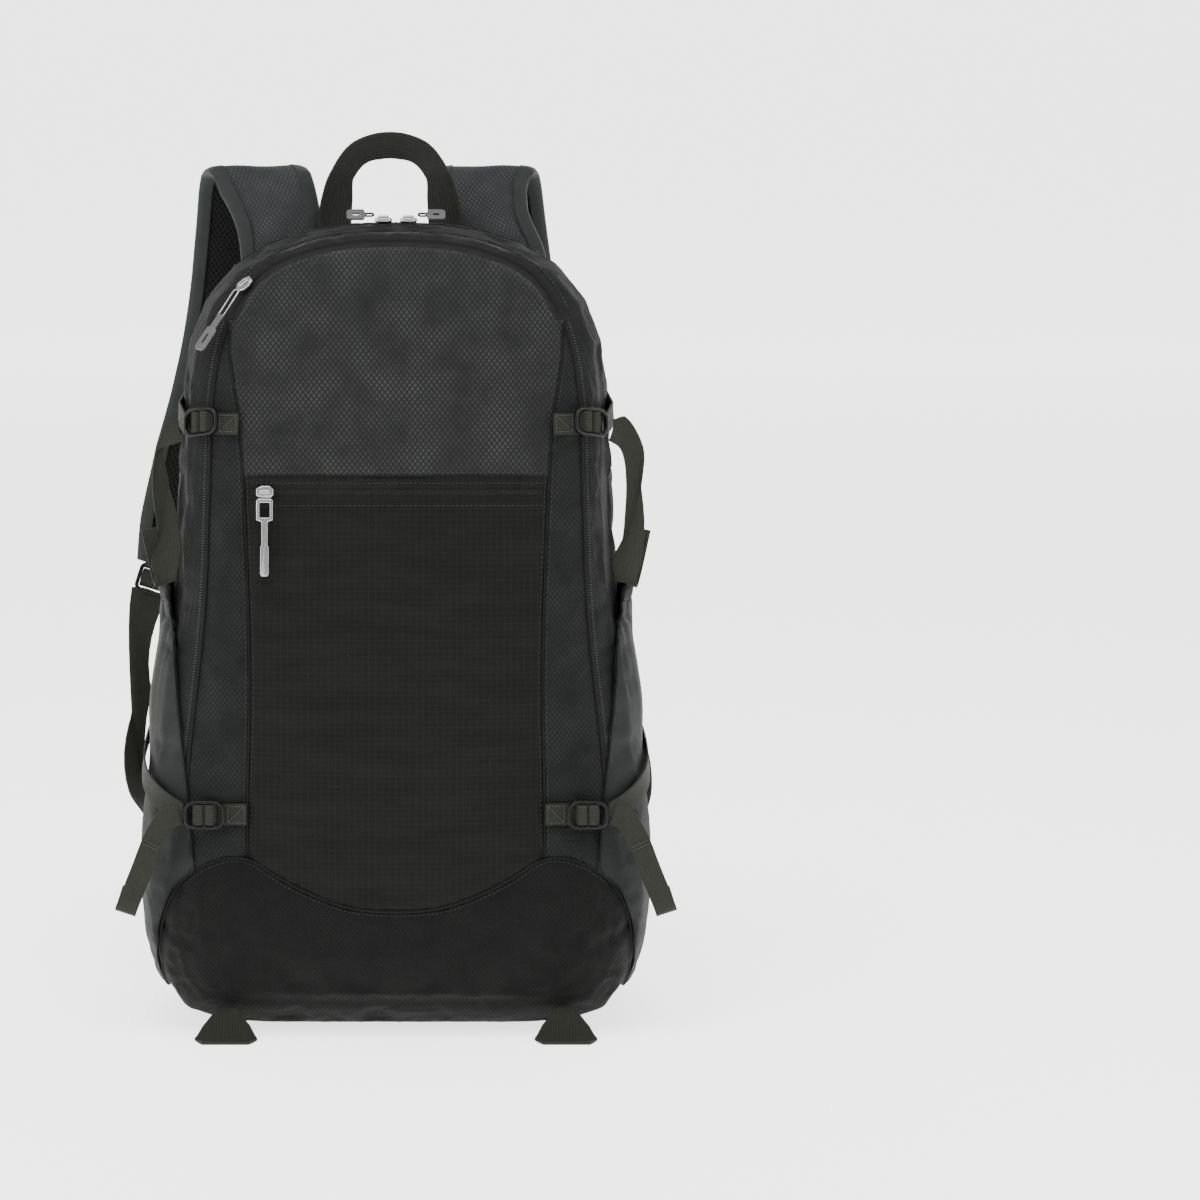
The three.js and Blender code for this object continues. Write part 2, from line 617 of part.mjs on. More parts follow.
// Webbing from each shoulder strap's buckle to the foot of the side wall
const strapTape = 20;
const tapeThick = 1.4;
const strapBuckleWidth = 25;
const strapBuckleLong = 20;
const footUp = 0.18;
const tapeRows = [
  { side: 0.9, up: 0.43, behind: 0.26, turn: 0 },
  { side: 0.95, up: 0.37, behind: 0.2, turn: 10 },
  { side: 1.015, up: 0.3, behind: 0.08, turn: 30 },
  { side: 1.04, up: 0.25, behind: -0.03, turn: 60 },
];
[['left', -1], ['right', 1]].forEach(([name, side]) => {
  const top = strapEnds[name];
  const middle = top.at.clone()
    .addScaledVector(top.down, seamGap + strapBuckleLong / 2)
    .addScaledVector(top.out, (strapPad - ladderThick) / 2);
  const buckle = piece(`strap_buckle_${name}`, ladderBuckle(strapBuckleWidth, strapBuckleLong), blackPlastic);
  placed(buckle, middle, top.down.clone().negate(), top.out);
  const start = middle.clone().addScaledVector(top.down, seamGap + strapBuckleLong / 2)
    .addScaledVector(top.out, ladderThick / 2);
  const sway = start.x - side * tapeRows[0].side * bodyWidth / 2;
  const points = tapeRows.map((r, i) => new THREE.Vector3(
    side * r.side * bodyWidth / 2 + sway * (1 - i / tapeRows.length),
    backAt(r.up * bodyHeight) + r.behind * bodyDepth,
    r.up * bodyHeight,
  ));
  points[0].copy(start).addScaledVector(top.down, strapTape / 2);
  points.unshift(start);
  const footY = backAt(footUp * bodyHeight) - backRound - strapTape / 2;
  [footUp * bodyHeight + strapTape, footUp * bodyHeight].forEach((z) => {
    const off = pocketGap(footY - strapTape / 2, z) + clothWall + seatGap + tapeThick;
    points.push(new THREE.Vector3(side * (halfWidthAt(z) + off), footY, z));
  });
  const turns = [0, ...tapeRows.map((r) => r.turn), 90, 90];
  const acrosses = turns.map((turn) => new THREE.Vector3(
    Math.cos(THREE.MathUtils.degToRad(turn)), -side * Math.sin(THREE.MathUtils.degToRad(turn)), 0,
  ));
  acrosses[0] = top.across;
  const stations = stationsAlong(points, acrosses, points.map(() => strapTape));
  piece(`strap_webbing_${name}`, strap(stations, flatSection, tapeThick), webbing);
});

// Hand loop of webbing over the top, flat at its ends and turned on edge at the crown
// side and rise are shares of loopSpan and loopRise, turn goes from flat (0) to tilted (1)
const loopSpan = 36;
const loopRise = 48;
const loopShift = -4;
const loopTape = 22;
const loopThick = 2.2;
const loopFootUp = 0.94;
const loopRows = [
  { side: 1.0, rise: -0.35, turn: 0 },
  { side: 1.0, rise: 0.0, turn: 0.1 },
  { side: 0.94, rise: 0.32, turn: 0.45 },
  { side: 0.84, rise: 0.62, turn: 0.8 },
  { side: 0.56, rise: 0.9, turn: 0.95 },
  { side: 0.19, rise: 1.0, turn: 1 },
];
const loopTilt = THREE.MathUtils.degToRad(50);
const loopFeet = loopFootUp * bodyHeight;
const loopHalf = loopRows.map((r) => ({
  at: new THREE.Vector3(-r.side * loopSpan, 0, bodyHeight + r.rise * loopRise),
  across: new THREE.Vector3(1 - r.turn, r.turn * Math.cos(loopTilt), -r.turn * Math.sin(loopTilt)),
}));
const loopWhole = [...loopHalf, ...loopHalf.slice().reverse().map((p) => ({
  at: p.at.clone().multiply(new THREE.Vector3(-1, 1, 1)),
  across: p.across.clone().multiply(new THREE.Vector3(-1, 1, 1)),
}))];
sight.set(new THREE.Vector3(loopSpan, bodyDepth, loopFeet), new THREE.Vector3(0, -1, 0));
const loopSeat = sight.intersectObject(skinMesh)[0].point.y + seatGap;
loopWhole.forEach((p) => {
  p.at.x += loopShift;
  p.at.y = loopSeat;
});
const [loopStart, loopEnd] = [loopWhole[0], loopWhole[loopWhole.length - 1]];
loopWhole.unshift({ at: loopStart.at.clone().setZ(loopFeet), across: loopStart.across });
loopWhole.push({ at: loopEnd.at.clone().setZ(loopFeet), across: loopEnd.across });
piece('haul_loop', strap(
  stationsAlong(loopWhole.map((p) => p.at), loopWhole.map((p) => p.across), loopWhole.map(() => loopTape)),
  flatSection,
  loopThick,
), webbing);

// Compression sets: a tab in the centre seam, a buckle, a strap round the side wall and a hanging tail
// up is a share of bodyHeight, rise how far the strap climbs to the back in shares of its level
// tail rows: out, fore and down are shares of the level's tail length
const levelTape = 13.5;
const levelBuckleWidth = 18;
const levelBuckleLong = 26;
const levelBuckleSide = 0.745;
const levels = [
  {
    name: 'upper', up: 0.76, rise: 0.02, tail: 100,
    rows: [
      { out: 0.0, fore: 0.0, down: 0.0 },
      { out: 0.08, fore: 0.0, down: 0.034 },
      { out: 0.13, fore: 0.01, down: 0.135 },
      { out: 0.14, fore: 0.02, down: 0.3 },
      { out: 0.12, fore: 0.02, down: 0.62 },
      { out: 0.1, fore: 0.01, down: 0.95 },
      { out: 0.11, fore: -0.02, down: 1.0 },
      { out: 0.14, fore: -0.05, down: 0.9 },
      { out: 0.19, fore: -0.05, down: 0.66 },
    ],
  },
  {
    name: 'lower', up: 0.285, rise: 0.3, tail: 84,
    rows: [
      { out: 0.0, fore: 0.0, down: 0.0 },
      { out: 0.085, fore: 0.01, down: 0.03 },
      { out: 0.17, fore: 0.02, down: 0.15 },
      { out: 0.28, fore: 0.02, down: 0.42 },
      { out: 0.4, fore: 0.01, down: 0.72 },
      { out: 0.405, fore: -0.03, down: 0.74 },
      { out: 0.35, fore: -0.05, down: 0.57 },
    ],
  },
];
// The strap's turns round the front corner in degrees, then its reaches along the side wall in shares
const levelTurns = [45, 30, 15, 0];
const sideReaches = [0.3, 0.65, 0.96];
const tabShares = [0, 0.33, 0.67, 1];

// Place on the front rounding, turned from the side wall towards the front
function roundPlace(side, z, degrees) {
  const turn = THREE.MathUtils.degToRad(degrees);
  const x = halfWidthAt(z) - frontRound * (1 - Math.cos(turn));
  return {
    at: new THREE.Vector3(side * x, frontAt(z) + frontRound * (1 - Math.sin(turn)), z),
    out: new THREE.Vector3(side * Math.cos(turn), -Math.sin(turn), -flareAt(z) * Math.cos(turn)).normalize(),
  };
}

function compressionSet(level, name, side) {
  const z = level.up * bodyHeight;
  const label = `${level.name}_${name}`;
  const seamX = along(centreSeamRows, 'up', 'side', level.up) * bodyWidth / 2 + seamGap;
  const buckleX = levelBuckleSide * bodyWidth / 2;
  const tabXs = tabShares.map((share) => seamX + share * (buckleX - levelBuckleLong / 4 - seamX));
  const tab = stationsOn(tabXs.map((x) => frontPlace(side * x, z)), levelTape, seatGap);
  piece(`${label}_tab`, strap(tab, flatSection, tapeThick), webbing);

  const seat = frontPlace(side * buckleX, z);
  const outward = new THREE.Vector3(side, 0, 0).addScaledVector(seat.out, -side * seat.out.x).normalize();
  const lift = seatGap + tapeThick + seamGap;
  const buckle = piece(`${label}_buckle`, ladderBuckle(levelBuckleWidth, levelBuckleLong), blackPlastic);
  placed(buckle, seat.at.clone().addScaledVector(seat.out, lift), outward, seat.out);

  const end = seat.at.clone().addScaledVector(seat.out, lift)
    .addScaledVector(outward, levelBuckleLong / 2 + seamGap);
  const climb = (share) => z * (1 + level.rise * share);
  const places = levelTurns.map((turn, i) => roundPlace(side, climb((i + 1) / levelTurns.length / 2), turn))
    .filter((place) => place.at.clone().sub(end).dot(outward) > levelTape / 2);
  sideReaches.forEach((share) => {
    const height = climb(0.5 + share / 2);
    const length = backAt(height) - backRound - frontAt(height) - frontRound;
    places.push(sidePlace(side, height, share * length));
  });
  places.forEach((place) => {
    const pocket = place.at.z < pocketTop ? pocketGap(place.at.y, place.at.z) + clothWall + cut : 0;
    place.at.addScaledVector(place.out, pocket + seatGap);
  });
  places.unshift({ at: end, out: seat.out, across: outward.clone().cross(seat.out) });
  piece(`${label}_strap`, strap(stationsOn(places, levelTape, 0), flatSection, tapeThick), webbing);

  const top = end.clone().addScaledVector(seat.out, tapeThick + seatGap)
    .addScaledVector(outward, 2 * tapeThick);
  const points = level.rows.map((r) => new THREE.Vector3(
    top.x + side * r.out * level.tail, top.y - r.fore * level.tail, top.z - r.down * level.tail,
  ));
  const upright = seat.out.clone().cross(outward);
  const turned = level.rows.map((r, i) => alongX.clone().multiplyScalar(Math.min(i / 2, 1))
    .addScaledVector(upright, Math.max(1 - i / 2, 0)));
  const stations = stationsAlong(points, turned, points.map(() => levelTape));
  piece(`${label}_tail`, strap(stations, flatSection, tapeThick), webbing);
}
levels.forEach((level) => {
  compressionSet(level, 'left', -1);
  compressionSet(level, 'right', 1);
});

// Short tabs in the front seam of the base, lying on the floor
// fore is a share of footLong, up of the seam's height, width of footWidth
const footSide = 0.67;
const footSeamUp = 0.035;
const footWidth = 40;
const footThick = 2.4;
const footLong = 26;
const footRows = [
  { fore: 0, up: 1, width: 0.3 },
  { fore: 0.25, up: 0.4, width: 0.75 },
  { fore: 0.55, up: 0, width: 1 },
  { fore: 1, up: 0, width: 0.75 },
];
[['left', -1], ['right', 1]].forEach(([name, side]) => {
  const x = side * footSide * bodyWidth / 2;
  const seamZ = footSeamUp * bodyHeight;
  const seat = frontPlace(x, seamZ);
  const start = seat.at.clone().addScaledVector(seat.out, seatGap + cut);
  const points = footRows.map((r) => new THREE.Vector3(x, start.y - r.fore * footLong, r.up * seamZ));
  points[0] = start;
  const widths = footRows.map((r) => r.width * footWidth);
  const level = alongX.clone().addScaledVector(seat.out, -seat.out.x).normalize();
  const acrosses = [level, level.clone().add(alongX), alongX, alongX];
  const stations = stationsAlong(points, acrosses, widths);
  piece(`foot_tab_${name}`, strap(stations, flatSection, footThick), webbing);
});

// Zip sliders: a short plate on the zip, with a pull lying on it that swings about its upper end
const sliderLong = 11;
const sliderWide = 8;
const sliderThick = 3;
const pullThick = 1.8;
// The plate's outline from its lower edge up the right side: half is a share of half its width
const sliderRows = [
  { half: 0.6, up: -1 },
  { half: 1, up: -0.3 },
  { half: 1, up: 0.6 },
  { half: 0.5, up: 1 },
];

function sliderPlate() {
  const right = sliderRows.map((r) => new THREE.Vector2(r.half * sliderWide / 2, r.up * sliderLong / 2));
  const left = right.slice().reverse().map((p) => new THREE.Vector2(-p.x, p.y));
  const plate = new THREE.Shape([...right, ...left]);
  return new THREE.ExtrudeGeometry(plate, { depth: sliderThick, bevelEnabled: false });
}

// Pull outlines from the hinge down: down and half width in mm, holes by their ends and half width
const pulls = {
  pocket: {
    rows: [[0, 4.4], [1, 5.2], [13.5, 5.2], [14.5, 2], [29, 2], [30, 2.7], [47, 2.7], [48.5, 1.8]],
    holes: [[2.6, 11.8, 3.2]],
  },
  corner: {
    rows: [[0, 1.8], [1, 2.7], [21, 2.7], [22, 2], [29.5, 2], [31, 3.8], [45, 3.8], [47, 2.4]],
    holes: [[2.4, 19.5, 1.3], [35, 42, 0.9]],
  },
  top: {
    rows: [[0, 1.6], [6, 1.8], [7, 5], [16, 5], [18, 3.4]],
    holes: [[9, 14, 1.2]],
  },
};

function pullPlate(kind) {
  const rows = pulls[kind].rows;
  const plate = new THREE.Shape();
  plate.moveTo(-rows[0][1], -rows[0][0]);
  rows.slice(1).forEach(([down, half]) => plate.lineTo(-half, -down));
  rows.slice().reverse().forEach(([down, half]) => plate.lineTo(half, -down));
  plate.closePath();
  pulls[kind].holes.forEach(([from, to, half]) => {
    const hole = new THREE.Path();
    hole.moveTo(-half, -from).lineTo(half, -from).lineTo(half, -to).lineTo(-half, -to).closePath();
    plate.holes.push(hole);
  });
  return new THREE.ExtrudeGeometry(plate, { depth: pullThick, bevelEnabled: false });
}

// Slider on its seat, and its pull hinged over the slider's edge and hanging to a second place
const pullOver = 0.2;
const hingeLift = seatGap + sliderThick + seamGap;

function sliderAndPull(name, kind, seat, zipWay, hangTo, reach, finish) {
  const slider = piece(`${name}_slider`, sliderPlate(), silverMetal);
  placed(slider, seat.at.clone().addScaledVector(seat.out, seatGap), zipWay, seat.out);
  const way = hangTo.clone().sub(seat.at);
  way.addScaledVector(seat.out, -way.dot(seat.out)).normalize();
  const hinge = seat.at.clone().addScaledVector(seat.out, hingeLift).addScaledVector(way, reach + pullOver);
  const pull = piece(`${name}_pull`, pullPlate(kind), finish);
  placed(pull, hinge, hinge.clone().sub(hangTo), seat.out);
}

const pullOf = (kind) => pulls[kind].rows[pulls[kind].rows.length - 1][0];
const bandMiddle = (bandTop + bandBase) / 2;
const pocketPullSide = -0.51;
const pocketPullOff = 6;
const pocketX = pocketPullSide * bodyWidth / 2;
const pocketEnd = frontPlace(pocketX, bandMiddle - pullOf('pocket'));
sliderAndPull(
  'pocket', 'pocket', frontPlace(pocketX, bandMiddle), alongX,
  pocketEnd.at.clone().addScaledVector(pocketEnd.out, pocketPullOff), sliderWide / 2, silverMetal,
);

// Slider of the front zip, parked at the upper left end of its arch
const cornerUp = 0.94;
const cornerHangWay = new THREE.Vector3(-0.46, 0, -0.89);
const cornerPullOff = 12;
const cornerPoint = outline.reduce((best, p) => {
  const nearer = Math.abs(p.z - cornerUp * bodyHeight) < Math.abs(best.z - cornerUp * bodyHeight);
  return p.x < 0 && nearer ? p : best;
}, outline[outline.length - 1]);
const cornerSeat = frontPlace(
  cornerPoint.x + cornerPoint.nx * seamInset(cornerPoint.z),
  cornerPoint.z + cornerPoint.nz * seamInset(cornerPoint.z),
);
const zipWayCorner = new THREE.Vector3(cornerPoint.nz, 0, -cornerPoint.nx);
const cornerHang = cornerHangWay.clone().multiplyScalar(pullOf('corner'));
const cornerEnd = frontPlace(cornerSeat.at.x + cornerHang.x, cornerSeat.at.z + cornerHang.z);
sliderAndPull(
  'corner', 'corner', cornerSeat, zipWayCorner,
  cornerEnd.at.clone().addScaledVector(cornerEnd.out, cornerPullOff), sliderLong / 2, greyPlastic,
);

// Two sliders of the main zip meet on the crown, their pulls lying outwards along the zip
const topSpread = 8;
const topTilt = THREE.MathUtils.degToRad(35);
[['left', -1], ['right', 1]].forEach(([name, side]) => {
  sight.set(new THREE.Vector3(side * topSpread, zipY, 2 * bodyHeight), new THREE.Vector3(0, 0, -1));
  const seat = {
    at: sight.intersectObject(skinMesh)[0].point,
    out: new THREE.Vector3(0, 0, 1),
  };
  const slider = piece(`top_slider_${name}`, sliderPlate(), silverMetal);
  placed(slider, seat.at.clone().addScaledVector(seat.out, seatGap), alongX, seat.out);
  const tilted = new THREE.Vector3(0, -Math.sin(topTilt), Math.cos(topTilt));
  const drop = pulls.top.rows[0][1] * Math.sin(topTilt);
  const hinge = seat.at.clone().addScaledVector(seat.out, hingeLift + drop)
    .addScaledVector(alongX, side * (sliderLong / 2 + pullOver));
  const pull = piece(`top_pull_${name}`, pullPlate('top'), greyPlastic);
  placed(pull, hinge, new THREE.Vector3(-side, 0, 0), tilted);
});

export default backpack;
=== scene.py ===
import math

import bmesh
import bpy
import numpy as np
from mathutils import Matrix, Vector
from mathutils.bvhtree import BVHTree


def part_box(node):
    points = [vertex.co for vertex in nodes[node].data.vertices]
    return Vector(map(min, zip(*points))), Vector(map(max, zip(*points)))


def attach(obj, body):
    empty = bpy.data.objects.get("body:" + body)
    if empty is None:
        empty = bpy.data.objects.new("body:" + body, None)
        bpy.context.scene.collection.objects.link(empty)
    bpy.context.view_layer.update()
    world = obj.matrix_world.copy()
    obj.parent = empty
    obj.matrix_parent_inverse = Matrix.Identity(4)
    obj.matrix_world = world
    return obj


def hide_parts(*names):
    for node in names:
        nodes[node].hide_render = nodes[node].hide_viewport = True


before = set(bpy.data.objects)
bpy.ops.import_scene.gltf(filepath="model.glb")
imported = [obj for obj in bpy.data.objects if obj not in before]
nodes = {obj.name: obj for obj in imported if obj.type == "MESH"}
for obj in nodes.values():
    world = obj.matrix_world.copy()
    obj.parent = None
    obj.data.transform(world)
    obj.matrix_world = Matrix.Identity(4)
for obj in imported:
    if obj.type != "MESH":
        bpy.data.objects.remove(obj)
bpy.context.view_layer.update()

# Bag body. The real one is thin ripstop nylon sewn from panels, turned right side out and filled.
# Its form comes from the hollow CAD panels, joined, wrapped in one fine skin and let go slack between
# its seams by a short cloth simulation. The sewn panels are cut from that skin further down.
body_high, body_wide, body_deep = 0.510, 0.320, 0.168
front_round, back_round = 0.046, 0.014
zip_back, zip_width = 0.34, 0.009
skin_cell = 0.0034
outline_rows = [
    (0.0, 0.3), (0.0, 0.6), (0.016, 0.82), (0.05, 0.925), (0.11, 0.985), (0.19, 1.0), (0.34, 0.955),
    (0.53, 0.885), (0.68, 0.862), (0.8, 0.845), (0.87, 0.8), (0.925, 0.715), (0.965, 0.565), (0.992, 0.32),
]
front_rows = [(0, -0.9), (0.12, -1), (0.3, -0.97), (0.5, -0.88), (0.75, -0.7), (0.9, -0.5), (1, -0.3)]
back_rows = [(0, 0.84), (0.12, 1), (0.3, 1), (0.5, 0.98), (0.75, 0.98), (0.9, 0.94), (1, 0.86)]
inset_rows = [(0, 0.5), (0.6, 0.47), (0.9, 0.42), (0.97, 0.26), (1, 0.2)]
centre_rows = [
    (0.16, 0.58), (0.3, 0.58), (0.45, 0.57), (0.62, 0.585), (0.76, 0.61), (0.85, 0.65), (0.95, 0.66),
]
base_seam_rows = [
    (0.0, 0.165), (0.2, 0.171), (0.42, 0.2), (0.6, 0.232), (0.76, 0.22),
    (0.87, 0.188), (0.925, 0.14), (0.93, 0.09), (0.86, 0.0),
]
band_top = 0.698 * body_high
band_tall = 0.020
zip_end = 0.56 * body_high
arch_end = 0.885 * body_high
zip_y = zip_back * body_deep / 2


def smooth_line(points, closed=False, steps=5):
    """Points of a smooth line through the given ones."""
    given = np.array(points, float)
    count = len(given)
    if not closed:
        given = np.vstack([2 * given[0] - given[1], given, 2 * given[-1] - given[-2]])
    line = []
    for i in range(count if closed else count - 1):
        four = [given[(i - 1 + k) % count] if closed else given[i + k] for k in range(4)]
        gaps = [max(np.linalg.norm(b - a) ** 0.5, 1e-6) for a, b in zip(four, four[1:])]
        a, b, c, d = four
        out = ((b - a) / gaps[0] - (c - a) / (gaps[0] + gaps[1]) + (c - b) / gaps[1]) * gaps[1]
        back = ((c - b) / gaps[1] - (d - b) / (gaps[1] + gaps[2]) + (d - c) / gaps[2]) * gaps[1]
        for s in np.arange(steps) / steps:
            line.append(
                b * (2 * s**3 - 3 * s**2 + 1) + out * (s**3 - 2 * s**2 + s)
                + c * (3 * s**2 - 2 * s**3) + back * (s**3 - s**2)
            )
    if not closed:
        line.append(given[-2])
    return np.array(line)


def read_rows(rows, up):
    """Smooth reading of a two-column table."""
    line = smooth_line(rows, steps=8)
    return np.interp(up, line[:, 0], line[:, 1])


right_side = [(half * body_wide / 2, up * body_high) for up, half in outline_rows]
left_side = [(-x, z) for x, z in reversed(right_side)]
outline = smooth_line([(0, 0), *right_side, (0, body_high), *left_side], closed=True, steps=4)
outline[:, 1] = np.maximum(outline[:, 1], 0)


def beside(points, line):
    """Distance of each (x, z) point inside a closed flat line, and how far round the line it lies."""
    x, z = points[:, 0], points[:, 1]
    best = np.full(len(points), 1e9)
    run_at = np.zeros(len(points))
    inside = np.zeros(len(points), bool)
    run = 0.0
    for (ax, az), (bx, bz) in zip(line, np.roll(line, -1, 0)):
        long = math.hypot(bx - ax, bz - az)
        if long < 1e-9:
            continue
        s = np.clip(((x - ax) * (bx - ax) + (z - az) * (bz - az)) / long**2, 0, 1)
        far = np.hypot(x - ax - s * (bx - ax), z - az - s * (bz - az))
        near = far < best
        best[near] = far[near]
        run_at[near] = run + s[near] * long
        if abs(bz - az) > 1e-12:
            inside ^= ((az > z) != (bz > z)) & (x < (bx - ax) * (z - az) / (bz - az) + ax)
        run += long
    return np.where(inside, best, -best), run_at


def front_wall(z):
    return read_rows(front_rows, z / body_high) * body_deep / 2


def inset_line(inset_at):
    """The outline moved in by a distance that changes with height."""
    ahead, behind = np.roll(outline, -1, 0), np.roll(outline, 1, 0)
    way = ahead - behind
    inward = np.stack([-way[:, 1], way[:, 0]], 1) / np.linalg.norm(way, axis=1)[:, None]
    return outline + inward * inset_at(outline[:, 1])[:, None]


seam_line = inset_line(lambda z: read_rows(inset_rows, z / body_high) * front_round)
back_line = inset_line(lambda z: 0.8 * back_round + 0 * z)
base_edge = [(side * body_wide / 2, up * body_high) for side, up in base_seam_rows]
base_line = smooth_line([(-x, z) for x, z in reversed(base_edge[1:])] + base_edge, steps=4)
base_line = np.vstack([base_line, [(base_line[-1][0], -1), (base_line[0][0], -1)]])


def centre_gap(at):
    return read_rows(centre_rows, at[:, 2] / body_high) * body_wide / 2 - np.abs(at[:, 0])


def seam_gap(at):
    return beside(at[:, [0, 2]], seam_line)[0]


def base_gap(at):
    return beside(at[:, [0, 2]], base_line)[0]


def back_gap(at):
    return beside(at[:, [0, 2]], back_line)[0]


def alone(obj):
    """Makes one object the only one selected, and active."""
    bpy.ops.object.select_all(action="DESELECT")
    obj.select_set(True)
    bpy.context.view_layer.objects.active = obj
    return obj


def placed(name, mesh):
    """A new object in the scene round a mesh."""
    obj = bpy.data.objects.new(name, mesh)
    bpy.context.collection.objects.link(obj)
    return obj


def joined(pieces):
    """Joins objects into the first of them."""
    bpy.ops.object.select_all(action="DESELECT")
    for piece in pieces:
        piece.select_set(True)
    bpy.context.view_layer.objects.active = pieces[0]
    bpy.ops.object.join()
    return pieces[0]


def copy_of(node, name):
    """A node's mesh as a new loose object with its doubled points merged."""
    obj = alone(placed(name, nodes[node].data.copy()))
    bpy.ops.object.mode_set(mode="EDIT")
    bpy.ops.mesh.select_all(action="SELECT")
    bpy.ops.mesh.remove_doubles(threshold=1e-5)
    bpy.ops.object.mode_set(mode="OBJECT")
    obj.data.materials.clear()
    return obj


def finished_with(obj, kind, **settings):
    """Adds a modifier with its settings and applies it."""
    alone(obj)
    modifier = obj.modifiers.new(kind.lower(), kind)
    for key, value in settings.items():
        setattr(modifier, key, value)
    bpy.ops.object.modifier_apply(modifier=modifier.name)


def places(obj):
    """The points of an object's mesh."""
    at = np.empty(len(obj.data.vertices) * 3)
    obj.data.vertices.foreach_get("co", at)
    return at.reshape(-1, 3)


def normals(obj):
    way = np.empty(len(obj.data.vertices) * 3)
    obj.data.vertices.foreach_get("normal", way)
    return way.reshape(-1, 3)


def put(obj, at):
    obj.data.vertices.foreach_set("co", np.ascontiguousarray(at, float).ravel())
    obj.data.update()


body_nodes = [
    "upper_panel", "pocket_zip", "pocket_panel", "side_strip_left", "side_strip_right", "front_zip",
    "front_gusset", "main_zip", "rear_gusset", "back_panel", "bottom_panel",
]
form = joined([copy_of(node, f"form_{node}") for node in body_nodes])
shell = alone(placed("shell", form.data.copy()))
bpy.ops.object.mode_set(mode="EDIT")
bpy.ops.mesh.select_all(action="SELECT")
bpy.ops.mesh.convex_hull()
bpy.ops.object.mode_set(mode="OBJECT")
finished_with(shell, "REMESH", mode="VOXEL", voxel_size=skin_cell)
finished_with(shell, "SHRINKWRAP", target=form, wrap_method="NEAREST_SURFACEPOINT")
finished_with(shell, "SMOOTH", factor=0.5, iterations=5)

# The seams hold the cloth, and so do the base and what is sewn or strapped to it
tight = places(shell)
above_front = tight[:, 1] < zip_y
band_reach, held_wide, held_low = 0.094, 0.004, 0.006
seam_far = np.minimum.reduce([
    np.where(above_front, np.abs(seam_gap(tight)), 1.0),
    np.where(above_front & (seam_gap(tight) > 0) & (base_gap(tight) < 0), np.abs(centre_gap(tight)), 1.0),
    np.abs(base_gap(tight)),
    np.where(~above_front, np.abs(back_gap(tight)), 1.0),
    np.where(tight[:, 2] > zip_end, np.maximum(np.abs(tight[:, 1] - zip_y) - zip_width / 2, 0), 1.0),
    np.where(
        above_front & (np.abs(tight[:, 0]) < band_reach),
        np.minimum(np.abs(tight[:, 2] - band_top), np.abs(tight[:, 2] - band_top + band_tall)), 1.0,
    ),
])
held = np.clip(1.4 - seam_far / held_wide, 0, 1)
held = np.maximum(held, np.clip(1.5 - tight[:, 2] / held_low, 0, 1))
last_step = 20
group = shell.vertex_groups.new(name="held")
for i in np.nonzero(held > 0.02)[0]:
    group.add([int(i)], float(held[i]), "REPLACE")
alone(shell)
cloth = shell.modifiers.new("cloth", "CLOTH")
cloth.settings.quality = 4
cloth.settings.mass = 0.15
cloth.settings.tension_stiffness = 12
cloth.settings.compression_stiffness = 12
cloth.settings.shear_stiffness = 4
cloth.settings.bending_stiffness = 0.25
cloth.settings.use_pressure = True
cloth.settings.uniform_pressure_force = 3.0
cloth.settings.shrink_min = -0.035
cloth.settings.vertex_group_mass = "held"
cloth.settings.effector_weights.gravity = 0
cloth.collision_settings.use_collision = False
cloth.point_cache.frame_start, cloth.point_cache.frame_end = 1, last_step
for step in range(1, last_step + 1):
    bpy.context.scene.frame_set(step)
bpy.ops.object.modifier_apply(modifier=cloth.name)
bpy.context.scene.frame_set(1)

# The slack is kept small, and where tabs, buckles and straps lie on it the cloth stays flat
moved = places(shell) - tight
put(shell, tight)
out_way = normals(shell)
lying = [
    f"{level}_{side}_{part}"
    for level in ("upper", "lower") for side in ("left", "right") for part in ("tab", "buckle", "strap")
] + [f"{part}_{side}" for part in ("foot_tab", "shoulder_strap") for side in ("left", "right")]
lying += ["pocket_pull", "corner_pull"]
free_out, under_out, pocket_out, room_beside = 0.0048, 0.0003, 0.0008, 0.02
most_out = np.full(len(tight), free_out)
for node in lying:
    low, high = (np.array(corner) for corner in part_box(node))
    beyond = np.maximum(low - tight, tight - high).max(1)
    eased = under_out + (free_out - under_out) * np.clip(beyond / room_beside, 0, 1)
    most_out = np.minimum(most_out, eased)
pocket_side = (np.abs(tight[:, 0]) > 0.11) & (tight[:, 2] < 0.30)
most_out = np.where(pocket_side, np.minimum(most_out, pocket_out), most_out)
out = (moved * out_way).sum(1)
sideways = moved - out_way * out[:, None]
out = np.where(out > 0, most_out * np.tanh(out / 0.012), -0.004 * np.tanh(-out / 0.004))
sideways *= 0.002 / np.maximum(np.linalg.norm(sideways, axis=1), 0.002)[:, None]

# Each seam pulls its cloth down into a narrow valley, with short puckers across it
on_front_face = above_front & (seam_gap(tight) > 0) & (base_gap(tight) < 0)
runs = [
    (np.where(above_front, np.abs(seam_gap(tight)), 1.0), beside(tight[:, [0, 2]], seam_line)[1]),
    (np.where(on_front_face, np.abs(centre_gap(tight)), 1.0), tight[:, 2]),
    (np.abs(base_gap(tight)), beside(tight[:, [0, 2]], base_line)[1]),
    (np.where(~above_front, np.abs(back_gap(tight)), 1.0), beside(tight[:, [0, 2]], back_line)[1]),
]
valley_deep, valley_wide = 0.0016, 0.0035
pucker_high, pucker_long, pucker_pitch, pucker_drift = 0.0007, 0.009, 0.016, 0.047
for far, run in runs:
    out -= valley_deep * np.exp(-((far / valley_wide) ** 2))
    turns = run * 2 * math.pi
    wave = np.sin(turns / pucker_pitch + 2.2 * np.sin(turns / pucker_drift))
    out += pucker_high * wave * np.exp(-far / pucker_long) * np.clip(far / 0.004, 0, 1)

